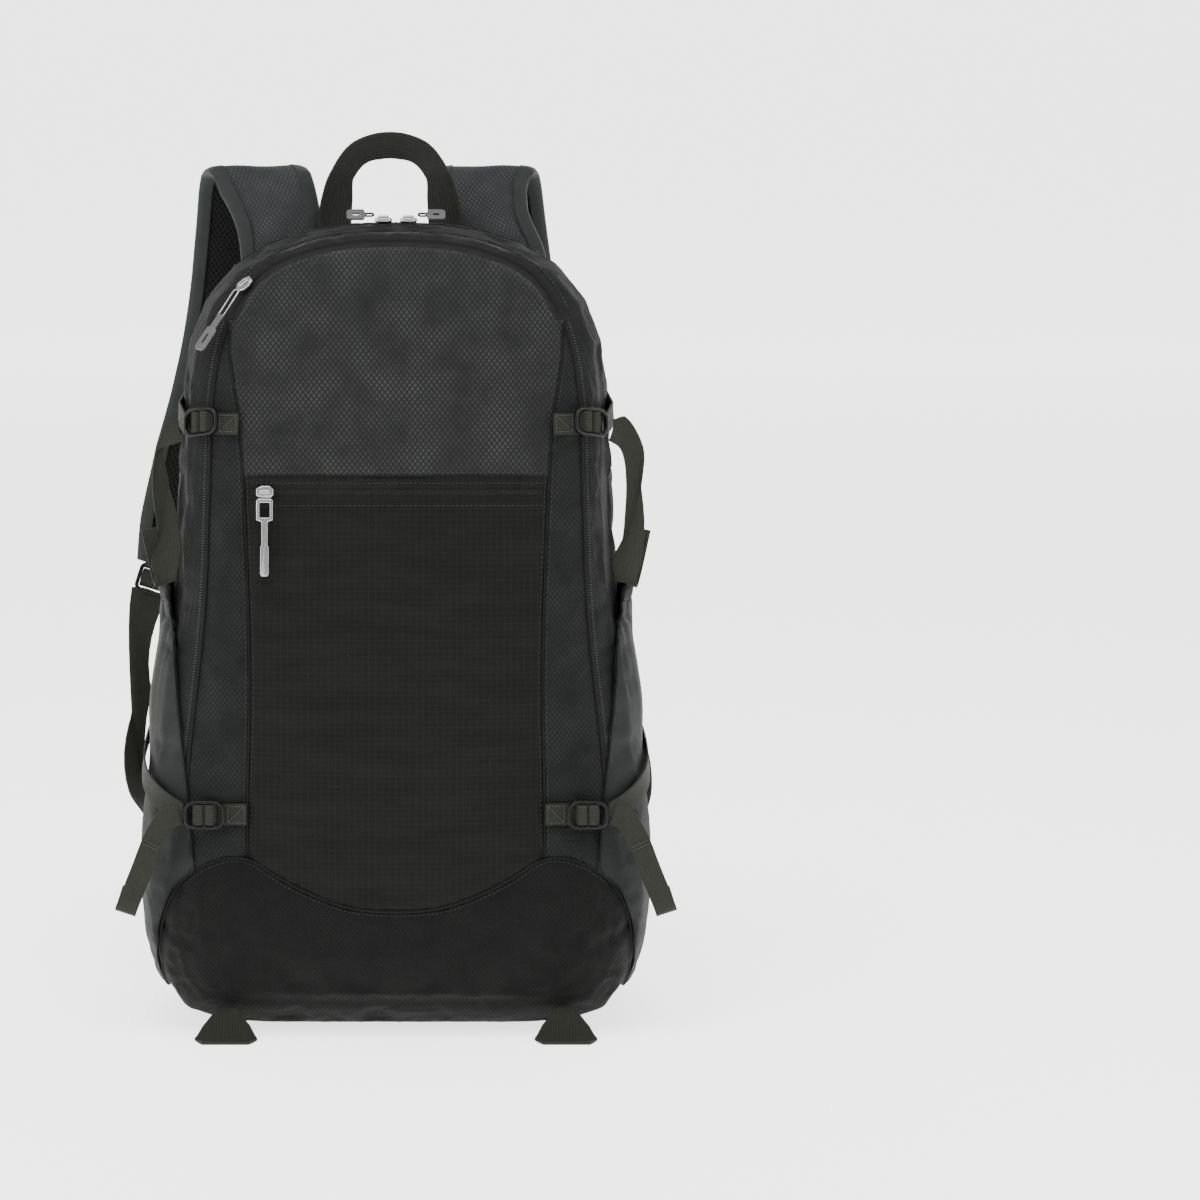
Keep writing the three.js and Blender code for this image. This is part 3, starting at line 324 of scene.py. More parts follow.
# The front strips crease on the slant between their seams, and a short dart gathers each low corner
strip = on_front_face & (centre_gap(tight) < 0)
slant = tight[:, 2] * 0.8 - np.abs(tight[:, 0]) * 1.3
crease_high, crease_pitch = 0.0008, 0.027
crease = 1 - 2 * np.abs(np.sin(slant * math.pi / crease_pitch + 1.3 * np.sin(tight[:, 2] * 75))) ** 0.7
out += np.where(strip, crease_high * crease * np.clip(seam_far / 0.007, 0, 1), 0)
dart_out, dart_in, dart_deep, dart_wide = (0.150, 0.071), (0.128, 0.062), 0.0026, 0.0034
dart_way = np.subtract(dart_in, dart_out)
from_dart = np.stack([np.abs(tight[:, 0]) - dart_out[0], tight[:, 2] - dart_out[1]], 1)
along_dart = np.clip(from_dart @ dart_way / (dart_way @ dart_way), 0, 1)
off_dart = np.linalg.norm(from_dart - along_dart[:, None] * dart_way, axis=1)
dart = dart_deep * (1 - 0.7 * along_dart) * np.exp(-((off_dart / dart_wide) ** 2))
out -= np.where(above_front, dart, 0)
out = np.where(tight[:, 2] < 0.004, np.minimum(out, 0), out)
put(shell, tight + out_way * out[:, None] + sideways)
finished_with(shell, "SMOOTH", factor=0.4, iterations=2)
low_edge = places(shell)
low_edge[:, 2] = np.maximum(low_edge[:, 2], 0.0002)
put(shell, low_edge)


# Sewn panels: the skin is cut along its seams, and each panel gets its wall. The front has a
# diamond-weave upper panel, a plain ripstop pocket panel and two side strips, the walls are two
# gussets, the base is one coated panel that climbs the corners, and the back is plain.
def cut_along(mesh, gap, where=None):
    """Cuts the mesh along the line where gap is nothing, moving points that are nearly on it."""
    points = list(mesh.verts)
    at = np.array([p.co for p in points])
    found = gap(at)
    if where is not None:
        found = np.where(where(at), found, np.nan)
    value = dict(zip(points, found))
    on_line = {p for p in points if value[p] == 0}
    for edge in mesh.edges:
        a, b = edge.verts
        if not value[a] * value[b] < 0:
            continue
        share = value[a] / (value[a] - value[b])
        if share < 0.2:
            a.co, value[a] = a.co.lerp(b.co, share), 0
            on_line.add(a)
        elif share > 0.8:
            b.co, value[b] = a.co.lerp(b.co, share), 0
            on_line.add(b)
    crossed = [edge for edge in mesh.edges if value[edge.verts[0]] * value[edge.verts[1]] < 0]
    for edge in crossed:
        a, b = edge.verts
        new = bmesh.utils.edge_split(edge, a, value[a] / (value[a] - value[b]))[1]
        on_line.add(new)
    bmesh.ops.connect_verts(mesh, verts=[p for p in mesh.verts if p in on_line])


edge_room = 0.006
skin = bmesh.new()
skin.from_mesh(shell.data)
half_zip = zip_width / 2
cut_along(skin, base_gap)
cut_along(skin, seam_gap, lambda at: (at[:, 1] < zip_y) & (at[:, 2] < arch_end + edge_room))
for shift in (-half_zip, half_zip):
    cut_along(
        skin, lambda at: seam_gap(at) + shift,
        lambda at: (at[:, 1] < zip_y) & (at[:, 2] > arch_end - edge_room),
    )
cut_along(
    skin, lambda at: at[:, 2] - arch_end,
    lambda at: (at[:, 1] < zip_y) & (np.abs(seam_gap(at)) < half_zip + edge_room),
)
cut_along(skin, centre_gap, lambda at: (at[:, 1] < zip_y) & (seam_gap(at) > -edge_room))
for level in (band_top, band_top - band_tall):
    cut_along(
        skin, lambda at: at[:, 2] - level,
        lambda at: (at[:, 1] < zip_y) & (centre_gap(at) > -edge_room),
    )
cut_along(skin, lambda at: at[:, 1] - zip_y, lambda at: at[:, 2] < zip_end + edge_room)
for shift in (-half_zip, half_zip):
    cut_along(skin, lambda at: at[:, 1] - zip_y + shift, lambda at: at[:, 2] > zip_end - edge_room)
cut_along(
    skin, lambda at: at[:, 2] - zip_end,
    lambda at: np.abs(at[:, 1] - zip_y) < half_zip + edge_room,
)
cut_along(skin, back_gap, lambda at: at[:, 1] > zip_y)
skin.to_mesh(shell.data)
skin.free()


def panel_at(at):
    """Number of the panel that each point of the skin belongs to."""
    front = at[:, 1] < zip_y
    gap = seam_gap(at)
    centre = front & (gap > 0) & (centre_gap(at) > 0)
    number = np.where(front, body_nodes.index("front_gusset"), body_nodes.index("rear_gusset"))
    number[front & (gap > 0) & (at[:, 0] < 0)] = body_nodes.index("side_strip_left")
    number[front & (gap > 0) & (at[:, 0] > 0)] = body_nodes.index("side_strip_right")
    number[centre] = body_nodes.index("pocket_panel")
    number[centre & (at[:, 2] > band_top - band_tall)] = body_nodes.index("pocket_zip")
    number[centre & (at[:, 2] > band_top)] = body_nodes.index("upper_panel")
    number[front & (at[:, 2] > arch_end) & (np.abs(gap) < half_zip)] = body_nodes.index("front_zip")
    number[~front & (back_gap(at) > 0)] = body_nodes.index("back_panel")
    number[(at[:, 2] > zip_end) & (np.abs(at[:, 1] - zip_y) < half_zip)] = body_nodes.index("main_zip")
    number[base_gap(at) > 0] = body_nodes.index("bottom_panel")
    return number


def corner_points(mesh):
    """Which point lies at each corner of the faces."""
    loops = np.empty(len(mesh.loops), int)
    mesh.loops.foreach_get("vertex_index", loops)
    return loops


def lay_out(obj):
    """UV map in metres: flat over the front and back, round the outline on the walls."""
    mesh = obj.data
    at = places(obj)
    inset, run = beside(at[:, [0, 2]], outline)
    turn = np.arccos(np.clip(1 - inset / front_round, -1, 1))
    wall = front_wall(at[:, 2]) + front_round
    deep = np.where(at[:, 1] < wall, wall - front_round * turn, at[:, 1])
    loops = corner_points(mesh)
    facing = np.empty(len(mesh.polygons) * 3)
    mesh.polygons.foreach_get("normal", facing)
    facing = facing.reshape(-1, 3)
    corners = np.empty(len(mesh.polygons), int)
    mesh.polygons.foreach_get("loop_total", corners)
    face = np.repeat(np.arange(len(corners)), corners)
    across = np.stack([at[loops, 0], at[loops, 2]], 1)
    if obj.name.startswith(("front_gusset", "rear_gusset", "front_zip", "main_zip")):
        across = np.stack([run[loops], deep[loops]], 1)
    elif obj.name.startswith("bottom"):
        below, beside_it = np.abs(facing[face, 2]) > 0.7, np.abs(facing[face, 0]) > 0.7
        across[below, 1] = at[loops, 1][below]
        across[beside_it, 0] = at[loops, 1][beside_it]
    layer = mesh.uv_layers.new(name="weave")
    layer.uv.foreach_set("vector", across.astype(np.float32).ravel())


middles = np.empty(len(shell.data.polygons) * 3)
shell.data.polygons.foreach_get("center", middles)
owner = shell.data.attributes.new("owner", "INT", "FACE")
owner.data.foreach_set("value", panel_at(middles.reshape(-1, 3)).astype(np.int32))

bpy.context.view_layer.update()
skin_tree = BVHTree.FromObject(shell, bpy.context.evaluated_depsgraph_get())
whole_skin = placed("whole_skin", shell.data.copy())
cloth_panels = {}
for number, node in enumerate(body_nodes):
    left = np.empty(len(shell.data.polygons), np.int32)
    shell.data.attributes["owner"].data.foreach_get("value", left)
    if (left == number).all():
        cloth_panels[node] = shell
        break
    alone(shell)
    bpy.ops.object.mode_set(mode="EDIT")
    bpy.ops.mesh.select_mode(type="FACE")
    bpy.ops.mesh.select_all(action="DESELECT")
    bpy.ops.object.mode_set(mode="OBJECT")
    shell.data.polygons.foreach_set("select", left == number)
    bpy.ops.object.mode_set(mode="EDIT")
    bpy.ops.mesh.separate(type="SELECTED")
    bpy.ops.object.mode_set(mode="OBJECT")
    cloth_panels[node] = next(o for o in bpy.context.selected_objects if o is not shell)
for node, panel in cloth_panels.items():
    panel.name = f"{node}_cloth"
    lay_out(panel)


# Finishes of the cloth. Every weave follows the panel's own map in metres, so that its cells keep
# the same size all over the bag.
def new_finish(name, roughness, specular=0.4, sheen=0.0):
    finish = bpy.data.materials.new(name)
    finish.use_nodes = True
    shader = finish.node_tree.nodes["Principled BSDF"]
    shader.inputs["Roughness"].default_value = roughness
    shader.inputs["Specular IOR Level"].default_value = specular
    shader.inputs["Sheen Weight"].default_value = sheen
    shader.inputs["Sheen Roughness"].default_value = 0.45
    return finish, shader


def node(finish, kind, inputs=(), **settings):
    """A node with its settings, its inputs given as values or as sockets."""
    made = finish.node_tree.nodes.new(kind)
    for key, value in settings.items():
        setattr(made, key, value)
    for place, value in dict(inputs).items():
        if isinstance(value, bpy.types.NodeSocket):
            finish.node_tree.links.new(value, made.inputs[place])
        else:
            made.inputs[place].default_value = value
    return made


def worked(finish, operation, a, b=0.0, c=0.0):
    return node(finish, "ShaderNodeMath", {0: a, 1: b, 2: c}, operation=operation).outputs[0]


def blended(finish, share, dark, light):
    made = node(finish, "ShaderNodeMix", {0: share, 6: dark, 7: light}, data_type="RGBA")
    return made.outputs[2]


def tone(*levels):
    """A colour from its 0 to 255 levels, as the shader wants it."""
    return tuple(((v / 255 + 0.055) / 1.055) ** 2.4 for v in levels) + (1.0,)


def weave_map(finish):
    made = node(finish, "ShaderNodeUVMap", uv_map="weave")
    split = node(finish, "ShaderNodeSeparateXYZ", {0: made.outputs[0]})
    return made.outputs[0], split.outputs[0], split.outputs[1]


def grain(finish, vector, scale, detail=3.0, roughness=0.55):
    made = node(
        finish, "ShaderNodeTexNoise",
        {"Vector": vector, "Scale": scale, "Detail": detail, "Roughness": roughness},
    )
    return made.outputs[0]


def raised(finish, shader, layers):
    """Bumps from several heights, each with its depth in metres, the coarsest first."""
    below = None
    for height, depth in layers:
        inputs = {"Height": height, "Distance": depth, "Strength": 1.0}
        if below is not None:
            inputs["Normal"] = below
        below = node(finish, "ShaderNodeBump", inputs).outputs[0]
    finish.node_tree.links.new(below, shader.inputs["Normal"])


def lines_at(finish, value, pitch, sharp):
    """Fine lines every pitch metres, from 0 between them to 1 on them."""
    turn = worked(finish, "MULTIPLY", value, 2 * math.pi / pitch)
    wave = worked(finish, "MULTIPLY_ADD", worked(finish, "COSINE", turn), 0.5, 0.5)
    return worked(finish, "POWER", wave, sharp)


def threads_at(finish, u, v, pitch):
    """Crossed threads of a plain weave, from 0 between them to 1 on them."""
    return worked(finish, "MULTIPLY", lines_at(finish, u, pitch, 1.0), lines_at(finish, v, pitch, 1.0))


def diamond_cloth(name, dark, light, cell, sheen, pleats=0.0):
    finish, shader = new_finish(name, 0.74, 0.1, sheen)
    vector, u, v = weave_map(finish)
    rising = worked(finish, "MULTIPLY_ADD", v, 0.8, u)
    falling = worked(finish, "MULTIPLY_ADD", v, -0.8, u)
    ribs = worked(
        finish, "MAXIMUM", lines_at(finish, rising, cell, 2.5), lines_at(finish, falling, cell, 2.5),
    )
    threads = threads_at(finish, u, v, 0.00055)
    mottle = grain(finish, vector, 38.0, 4.0)
    spread = worked(finish, "MULTIPLY_ADD", mottle, 0.9, -0.2)
    share = worked(finish, "MULTIPLY", worked(finish, "SUBTRACT", 1.0, ribs), spread)
    colour = blended(finish, worked(finish, "MULTIPLY_ADD", threads, 0.12, share), dark, light)
    finish.node_tree.links.new(colour, shader.inputs["Base Color"])
    gloss = worked(finish, "MULTIPLY_ADD", ribs, -0.12, 0.78)
    finish.node_tree.links.new(gloss, shader.inputs["Roughness"])
    creases = grain(finish, vector, 22.0, 2.5, 0.45)
    layers = [(creases, 0.004), (worked(finish, "SUBTRACT", 1.0, ribs), 0.00022), (threads, 0.00006)]
    if pleats:
        short_way = node(finish, "ShaderNodeMapping", {"Vector": vector, "Scale": (30.0, 240.0, 1.0)})
        layers.insert(1, (grain(finish, short_way.outputs[0], 1.0, 2.0), pleats))
    raised(finish, shader, layers)
    return finish


def ripstop_cloth(name, dark, light, cell):
    finish, shader = new_finish(name, 0.66, 0.07, 0.0)
    vector, u, v = weave_map(finish)
    grid = worked(finish, "MAXIMUM", lines_at(finish, u, cell, 14.0), lines_at(finish, v, cell * 0.8, 14.0))
    threads = threads_at(finish, u, v, 0.0005)
    long_way = node(finish, "ShaderNodeMapping", {"Vector": vector, "Scale": (18.0, 90.0, 1.0)}).outputs[0]
    streaks = grain(finish, long_way, 1.0, 4.0)
    share = worked(finish, "MULTIPLY_ADD", grid, 0.35, worked(finish, "MULTIPLY", streaks, 0.7))
    colour = blended(finish, share, dark, light)
    finish.node_tree.links.new(colour, shader.inputs["Base Color"])
    creases = grain(finish, vector, 16.0, 2.0, 0.4)
    raised(finish, shader, [(creases, 0.005), (grid, 0.0001), (streaks, 0.00025), (threads, 0.00005)])
    return finish


def plain_cloth(name, dark, light, thread, roughness=0.8, sheen=0.03):
    finish, shader = new_finish(name, roughness, 0.1, sheen)
    vector, u, v = weave_map(finish)
    threads = threads_at(finish, u, v, thread)
    mottle = grain(finish, vector, 60.0, 4.0)
    colour = blended(finish, worked(finish, "MULTIPLY_ADD", threads, 0.35, mottle), dark, light)
    finish.node_tree.links.new(colour, shader.inputs["Base Color"])
    raised(finish, shader, [(mottle, 0.0006), (threads, 0.00016)])
    return finish


upper_cloth = diamond_cloth("diamond_weave", tone(12, 13, 13), tone(66, 68, 66), 0.0034, 0.03)
wall_cloth = diamond_cloth("wall_weave", tone(8, 9, 9), tone(46, 48, 47), 0.003, 0.01, 0.0012)
base_cloth = diamond_cloth("base_weave", tone(3, 3, 3), tone(26, 27, 25), 0.003, 0.0)
pocket_cloth = ripstop_cloth("pocket_ripstop", tone(5, 6, 5), tone(24, 25, 23), 0.0042)
back_cloth = plain_cloth("back_weave", tone(20, 21, 22), tone(38, 40, 41), 0.0009)
zip_cloth = plain_cloth("zip_tape", tone(10, 11, 10), tone(22, 23, 22), 0.0007, 0.55, 0.01)

panel_finish = {
    "upper_panel": (upper_cloth, "diamond_cloth"), "pocket_panel": (pocket_cloth, "ripstop_cloth"),
    "side_strip_left": (wall_cloth, "diamond_cloth"), "side_strip_right": (wall_cloth, "diamond_cloth"),
    "front_gusset": (wall_cloth, "diamond_cloth"), "rear_gusset": (wall_cloth, "diamond_cloth"),
    "bottom_panel": (base_cloth, "base_cloth"), "back_panel": (back_cloth, "pad_cloth"),
    "pocket_zip": (pocket_cloth, "zip_tape"), "front_zip": (zip_cloth, "zip_tape"),
    "main_zip": (zip_cloth, "zip_tape"),
}
cloth_wall = 0.0016


def edge_cord(name, panel, near, thick, finish):
    """A round cord laid along the part of a panel's edge that lies near a seam."""
    obj = placed(name, panel.data.copy())
    mesh = bmesh.new()
    mesh.from_mesh(obj.data)
    at = np.array([v.co for v in mesh.verts])
    close = near(at)
    mesh.verts.ensure_lookup_table()
    mesh.verts.index_update()
    drop = [
        e for e in mesh.edges
        if not (e.is_boundary and close[e.verts[0].index] and close[e.verts[1].index])
    ]
    bmesh.ops.delete(mesh, geom=drop, context="EDGES")
    bmesh.ops.delete(mesh, geom=[v for v in mesh.verts if not v.link_edges], context="VERTS")
    mesh.to_mesh(obj.data)
    mesh.free()
    alone(obj)
    bpy.ops.object.mode_set(mode="EDIT")
    bpy.ops.mesh.select_all(action="SELECT")
    bpy.ops.mesh.vertices_smooth(factor=0.5, repeat=6)
    bpy.ops.object.mode_set(mode="OBJECT")
    bpy.ops.object.convert(target="CURVE")
    obj = bpy.context.view_layer.objects.active
    obj.data.bevel_depth = thick / 2
    obj.data.bevel_resolution = 2
    obj.data.use_fill_caps = True
    bpy.ops.object.convert(target="MESH")
    obj = bpy.context.view_layer.objects.active
    obj.data.materials.clear()
    obj.data.materials.append(finish)
    bpy.ops.object.shade_smooth()
    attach(obj, "root")
    return obj


def piping_finish(name, colour):
    finish, shader = new_finish(name, 0.55, 0.1)
    shader.inputs["Base Color"].default_value = colour
    place = node(finish, "ShaderNodeTexCoord").outputs["Object"]
    bands = node(finish, "ShaderNodeTexNoise", {"Vector": place, "Scale": 900.0, "Detail": 2.0}).outputs[0]
    shade = blended(finish, bands, colour, tuple(c * 2.2 for c in colour[:3]) + (1,))
    finish.node_tree.links.new(shade, shader.inputs["Base Color"])
    raised(finish, shader, [(bands, 0.0003)])
    return finish


black_piping = piping_finish("black_piping", tone(6, 7, 6))
touching = 0.0004
for side in ("left", "right"):
    strip = cloth_panels[f"side_strip_{side}"]
    for name, gap, thick in (("outer", seam_gap, 0.0026), ("inner", centre_gap, 0.0014)):
        edge_cord(
            f"{name}_piping_{side}", strip,
            lambda at: (np.abs(gap(at)) < touching) & (base_gap(at) < touching), thick, black_piping,
        )
for name, panel, gap, thick in (
    ("base", "bottom_panel", base_gap, 0.0018), ("back", "back_panel", back_gap, 0.0026),
    ("band", "pocket_zip", lambda at: at[:, 2] - band_top, 0.0011),
):
    cord = edge_cord(
        f"{name}_piping", cloth_panels[panel], lambda at: np.abs(gap(at)) < touching, thick, black_piping,
    )



def dressed(obj, part, body, finish, slot):
    """Gives a finished piece its material, and says what it rides and replaces; slot is not used."""
    obj.data.materials.clear()
    obj.data.materials.append(finish)
    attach(obj, body)
    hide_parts(part)


for panel_node, panel in cloth_panels.items():
    finished_with(panel, "SOLIDIFY", thickness=cloth_wall, offset=-1.0, use_even_offset=False)
    bpy.ops.object.shade_smooth()
    dressed(panel, panel_node, "root", *panel_finish[panel_node])
bpy.data.objects.remove(form)


# Side pockets: stretch cloth sewn to the wall along both sides and below, held by an elastic hem
# at the mouth, which stands off the wall a little and gathers the cloth under it.
pocket_rows = [
    (0.047, 0.9), (0.09, 0.94), (0.14, 0.935), (0.19, 0.88), (0.215, 0.79), (0.3, 0.81),
    (0.41, 0.845), (0.58, 0.87),
]
pocket_mouth, pocket_top, pocket_base = 0.008, 0.283, 0.034
hem_tall, hem_thick = 0.009, 0.0022
gather_high, gather_pitch, gather_long, sag_high = 0.0009, 0.0115, 0.035, 0.0012


def pocket_gap(at):
    """How far a pocket's cloth stands off the wall."""
    fore = front_wall(at[:, 2]) + front_round / 4
    aft = read_rows(back_rows, at[:, 2] / body_high) * body_deep / 2 - back_round
    across = np.clip((at[:, 1] - fore) / (aft - fore), 0, 1)
    rise = np.clip((at[:, 2] - pocket_base) / (pocket_top - pocket_base), 0, 1)
    return pocket_mouth * np.sin(math.pi * across) * rise * rise * (3 - 2 * rise)


def pocket_inside(at):
    """How far inside the pocket's sewn outline a point lies."""
    edge = np.interp(at[:, 2] / body_high, [r[0] for r in pocket_rows], [r[1] for r in pocket_rows])
    aft = read_rows(back_rows, at[:, 2] / body_high) * body_deep / 2 - back_round - 0.002
    return np.minimum.reduce([
        (np.abs(at[:, 0]) - edge * body_wide / 2) * 0.9,
        at[:, 2] - pocket_rows[0][0] * body_high,
        aft - at[:, 1],
        pocket_top - at[:, 2],
    ])


stretch_cloth = plain_cloth("stretch_cloth", tone(17, 19, 18), tone(32, 34, 33), 0.0012, 0.7)
hem_cloth = plain_cloth("elastic_hem", tone(12, 13, 12), tone(26, 28, 26), 0.0016, 0.75)
hem_cut = bmesh.new()
hem_cut.from_mesh(whole_skin.data)
cut_along(hem_cut, pocket_inside, lambda at: np.abs(at[:, 0]) > 0.10)
cut_along(hem_cut, lambda at: at[:, 2] - pocket_top + hem_tall, lambda at: pocket_inside(at) > -0.004)
for side, sign in (("left", -1), ("right", 1)):
    for part, low, high, finish in (
        ("pocket", -1, pocket_top - hem_tall, stretch_cloth), ("hem", pocket_top - hem_tall, 1, hem_cloth),
    ):
        mesh = hem_cut.copy()
        middle = np.array([f.calc_center_median() for f in mesh.faces])
        keep = (
            (pocket_inside(middle) > 0) & (middle[:, 0] * sign > 0)
            & (middle[:, 2] > low) & (middle[:, 2] < high)
        )
        bmesh.ops.delete(mesh, geom=[f for f, k in zip(mesh.faces, keep) if not k], context="FACES")
        data = bpy.data.meshes.new(f"side_{part}_{side}_cloth")
        mesh.to_mesh(data)
        mesh.free()
        piece = placed(data.name, data)
        at, way = places(piece), normals(piece)
        stand = pocket_gap(at)
        drop = pocket_top - at[:, 2]
        gather = np.sin(at[:, 1] * 2 * math.pi / gather_pitch + 1.5 * np.sin(at[:, 1] * 120))
        gather *= gather_high * np.exp(-drop / gather_long) * np.clip(stand / 0.003, 0, 1)
        sag = sag_high * np.sin(at[:, 2] * 70 + at[:, 1] * 30) * np.clip(stand / 0.004, 0, 1)
        thick = hem_thick if part == "hem" else cloth_wall
        put(piece, at + way * (stand + gather + sag + thick)[:, None])
        layer = piece.data.uv_layers.new(name="weave")
        side_map = at[corner_points(piece.data), 1:]
        layer.uv.foreach_set("vector", side_map.astype(np.float32).ravel())
        if part == "pocket":
            edge_cord(
                f"side_pocket_piping_{side}", piece,
                lambda at: (at[:, 2] < pocket_top - hem_tall - 0.001) & (at[:, 1] < 0.03),
                0.0012, black_piping,
            )
        finished_with(piece, "SOLIDIFY", thickness=thick, offset=-1.0)
        bpy.ops.object.shade_smooth()
        dressed(piece, f"side_pocket_{side}", "root", finish, "stretch_cloth")
hem_cut.free()
bpy.data.objects.remove(whole_skin)


# Shoulder straps: foam between a woven face and an open mesh, with a folded tape bound round both
# edges. Each is sewn flat on the back panel, folds over behind the top and ends at its buckle.
def sections_of(part, corners, start, outward):
    """The sections of a CAD strap in order: middle, way across, way out, width and thickness."""
    copy = copy_of(part, "sections")
    mesh = bmesh.new()
    mesh.from_mesh(copy.data)
    left = set(mesh.verts)
    ring = sorted(left, key=lambda v: ((v.co - Vector(start)).length, v.index))[:corners]
    found = []
    across_before, out_before = None, Vector(outward)
    while ring:
        at = np.array([v.co for v in ring])
        left -= set(ring)
        middle = at.mean(0)
        ways = np.linalg.svd(at - middle)[2]
        across, out = Vector(ways[0]), Vector(ways[1])
        if across_before and across.dot(across_before) < 0:
            across = -across
        if out.dot(out_before) < 0:
            out = -out
        across_before, out_before = across, out
        wide, thick = np.ptp((at - middle) @ ways[0]), np.ptp((at - middle) @ ways[1])
        found.append([*middle, *across, *out, wide, thick])
        joined_to = {e.other_vert(v) for v in ring for e in v.link_edges}
        ring = sorted(joined_to & left, key=lambda v: v.index)
    mesh.free()
    bpy.data.objects.remove(copy)
    return np.array(found)


def run_along(line):
    """How far along a line each of its points lies."""
    return np.r_[0, np.cumsum(np.linalg.norm(np.diff(line, axis=0), axis=1))]


def read_at(at, known, table):
    """All columns of a table read between its rows."""
    return np.stack([np.interp(at, known, column) for column in table.T], 1)


def followed(sections, steps):
    """Closer sections on a smooth line through the given ones, and how far along it they lie."""
    middles = smooth_line(sections[:, :3], steps=steps)
    share = np.linspace(0, len(sections) - 1, len(middles))
    others = read_at(share, np.arange(len(sections)), sections[:, 3:])
    return np.hstack([middles, others]), run_along(middles)


def strip_along(name, sections, columns, steps, shape):
    """A flat strip bent along sections: shape gives each column's across and out in metres."""
    closer, run = followed(sections, steps)
    middles, across, out = closer[:, :3], closer[:, 3:6], closer[:, 6:9]
    across = across / np.linalg.norm(across, axis=1)[:, None]
    out = out / np.linalg.norm(out, axis=1)[:, None]
    bpy.ops.object.select_all(action="DESELECT")
    bpy.ops.mesh.primitive_grid_add(x_subdivisions=columns, y_subdivisions=len(middles) - 1, size=1)
    strip = bpy.context.active_object
    strip.name = name
    side, lift, map_across = shape(closer[:, 9], closer[:, 10], run)
    at = (
        middles[:, None, :] + across[:, None, :] * side[:, :, None] + out[:, None, :] * lift[:, :, None]
    ).reshape(-1, 3)
    put(strip, at)
    layer = strip.data.uv_layers.new(name="weave")
    flat = np.stack([map_across.reshape(-1), np.repeat(run, columns + 1)], 1)[corner_points(strip.data)]
    layer.uv.foreach_set("vector", flat.astype(np.float32).ravel())
    for other in [l for l in strip.data.uv_layers if l.name != "weave"]:
        strip.data.uv_layers.remove(other)
    return strip


def outward_faces(obj):
    """Turns all faces of a closed mesh outwards."""
    alone(obj)
    bpy.ops.object.mode_set(mode="EDIT")
    bpy.ops.mesh.select_all(action="SELECT")
    bpy.ops.mesh.normals_make_consistent(inside=False)
    bpy.ops.object.mode_set(mode="OBJECT")


strap_face = diamond_cloth("strap_face", tone(26, 27, 28), tone(80, 81, 82), 0.003, 0.03)
mesh_cloth, mesh_shader = new_finish("strap_mesh", 0.85, 0.12, 0.02)
mesh_u, mesh_v = weave_map(mesh_cloth)[1:]
mesh_up = worked(mesh_cloth, "MULTIPLY_ADD", mesh_v, 0.7, mesh_u)
mesh_down = worked(mesh_cloth, "MULTIPLY_ADD", mesh_v, -0.7, mesh_u)
mesh_cells = worked(
    mesh_cloth, "MAXIMUM",
    lines_at(mesh_cloth, mesh_up, 0.0034, 2.0), lines_at(mesh_cloth, mesh_down, 0.0034, 2.0),
)
mesh_cloth.node_tree.links.new(
    blended(mesh_cloth, mesh_cells, tone(2, 2, 2), tone(17, 18, 18)), mesh_shader.inputs["Base Color"],
)
raised(mesh_cloth, mesh_shader, [(mesh_cells, 0.0008)])
binding_tape = plain_cloth("binding_tape", tone(22, 24, 24), tone(40, 42, 42), 0.0008, 0.6)
binding_wide, binding_thick = 0.0068, 0.0009
strap_edge = 0.0042


def crown(share):
    """How full the pad is from edge (0) to middle (1)."""
    return np.sqrt(np.clip(1 - (1 - np.clip(share, 0, 1)) ** 2.4, 0, 1))


def pad_lift(across_share, thick):
    return strap_edge / 2 + (thick / 2 - strap_edge / 2) * crown(1 - np.abs(across_share) * 2)


def pad_sheet(face):
    def shape(wide, thick, run):
        share = np.linspace(-0.5, 0.5, 25)
        side = wide[:, None] * share[None, :]
        ripple = 0.0005 * np.sin(run[:, None] * 2 * math.pi / 0.031 + share[None, :] * 7)
        ripple = ripple * crown(1 - np.abs(share) * 2)[None, :]
        lift = np.stack([pad_lift(share, t) for t in thick]) + ripple
        return side, lift * face, side
    return shape


def edge_tape(edge):
    def shape(wide, thick, run):
        turn = np.linspace(0, 1, 17)
        flat = binding_wide / (2 * binding_wide + strap_edge)
        inner = np.maximum(flat - turn, 0) / flat + np.maximum(turn - 1 + flat, 0) / flat
        bend = np.clip((turn - flat) / (1 - 2 * flat), 0, 1) * math.pi
        side, lift = [], []
        for w, t in zip(wide, thick):
            from_edge = inner * binding_wide
            share = 0.5 - from_edge / w
            height = pad_lift(share, t) + binding_thick / 2
            half = strap_edge / 2 + binding_thick / 2
            side.append(edge * (w / 2 - from_edge + np.sin(bend) * half * 0.9))
            round_edge = np.where(turn > 1 - flat, -height, np.cos(bend) * half)
            lift.append(np.where(turn < flat, height, round_edge))
        return np.array(side), np.array(lift), np.tile(turn * 0.018, (len(run), 1))
    return shape


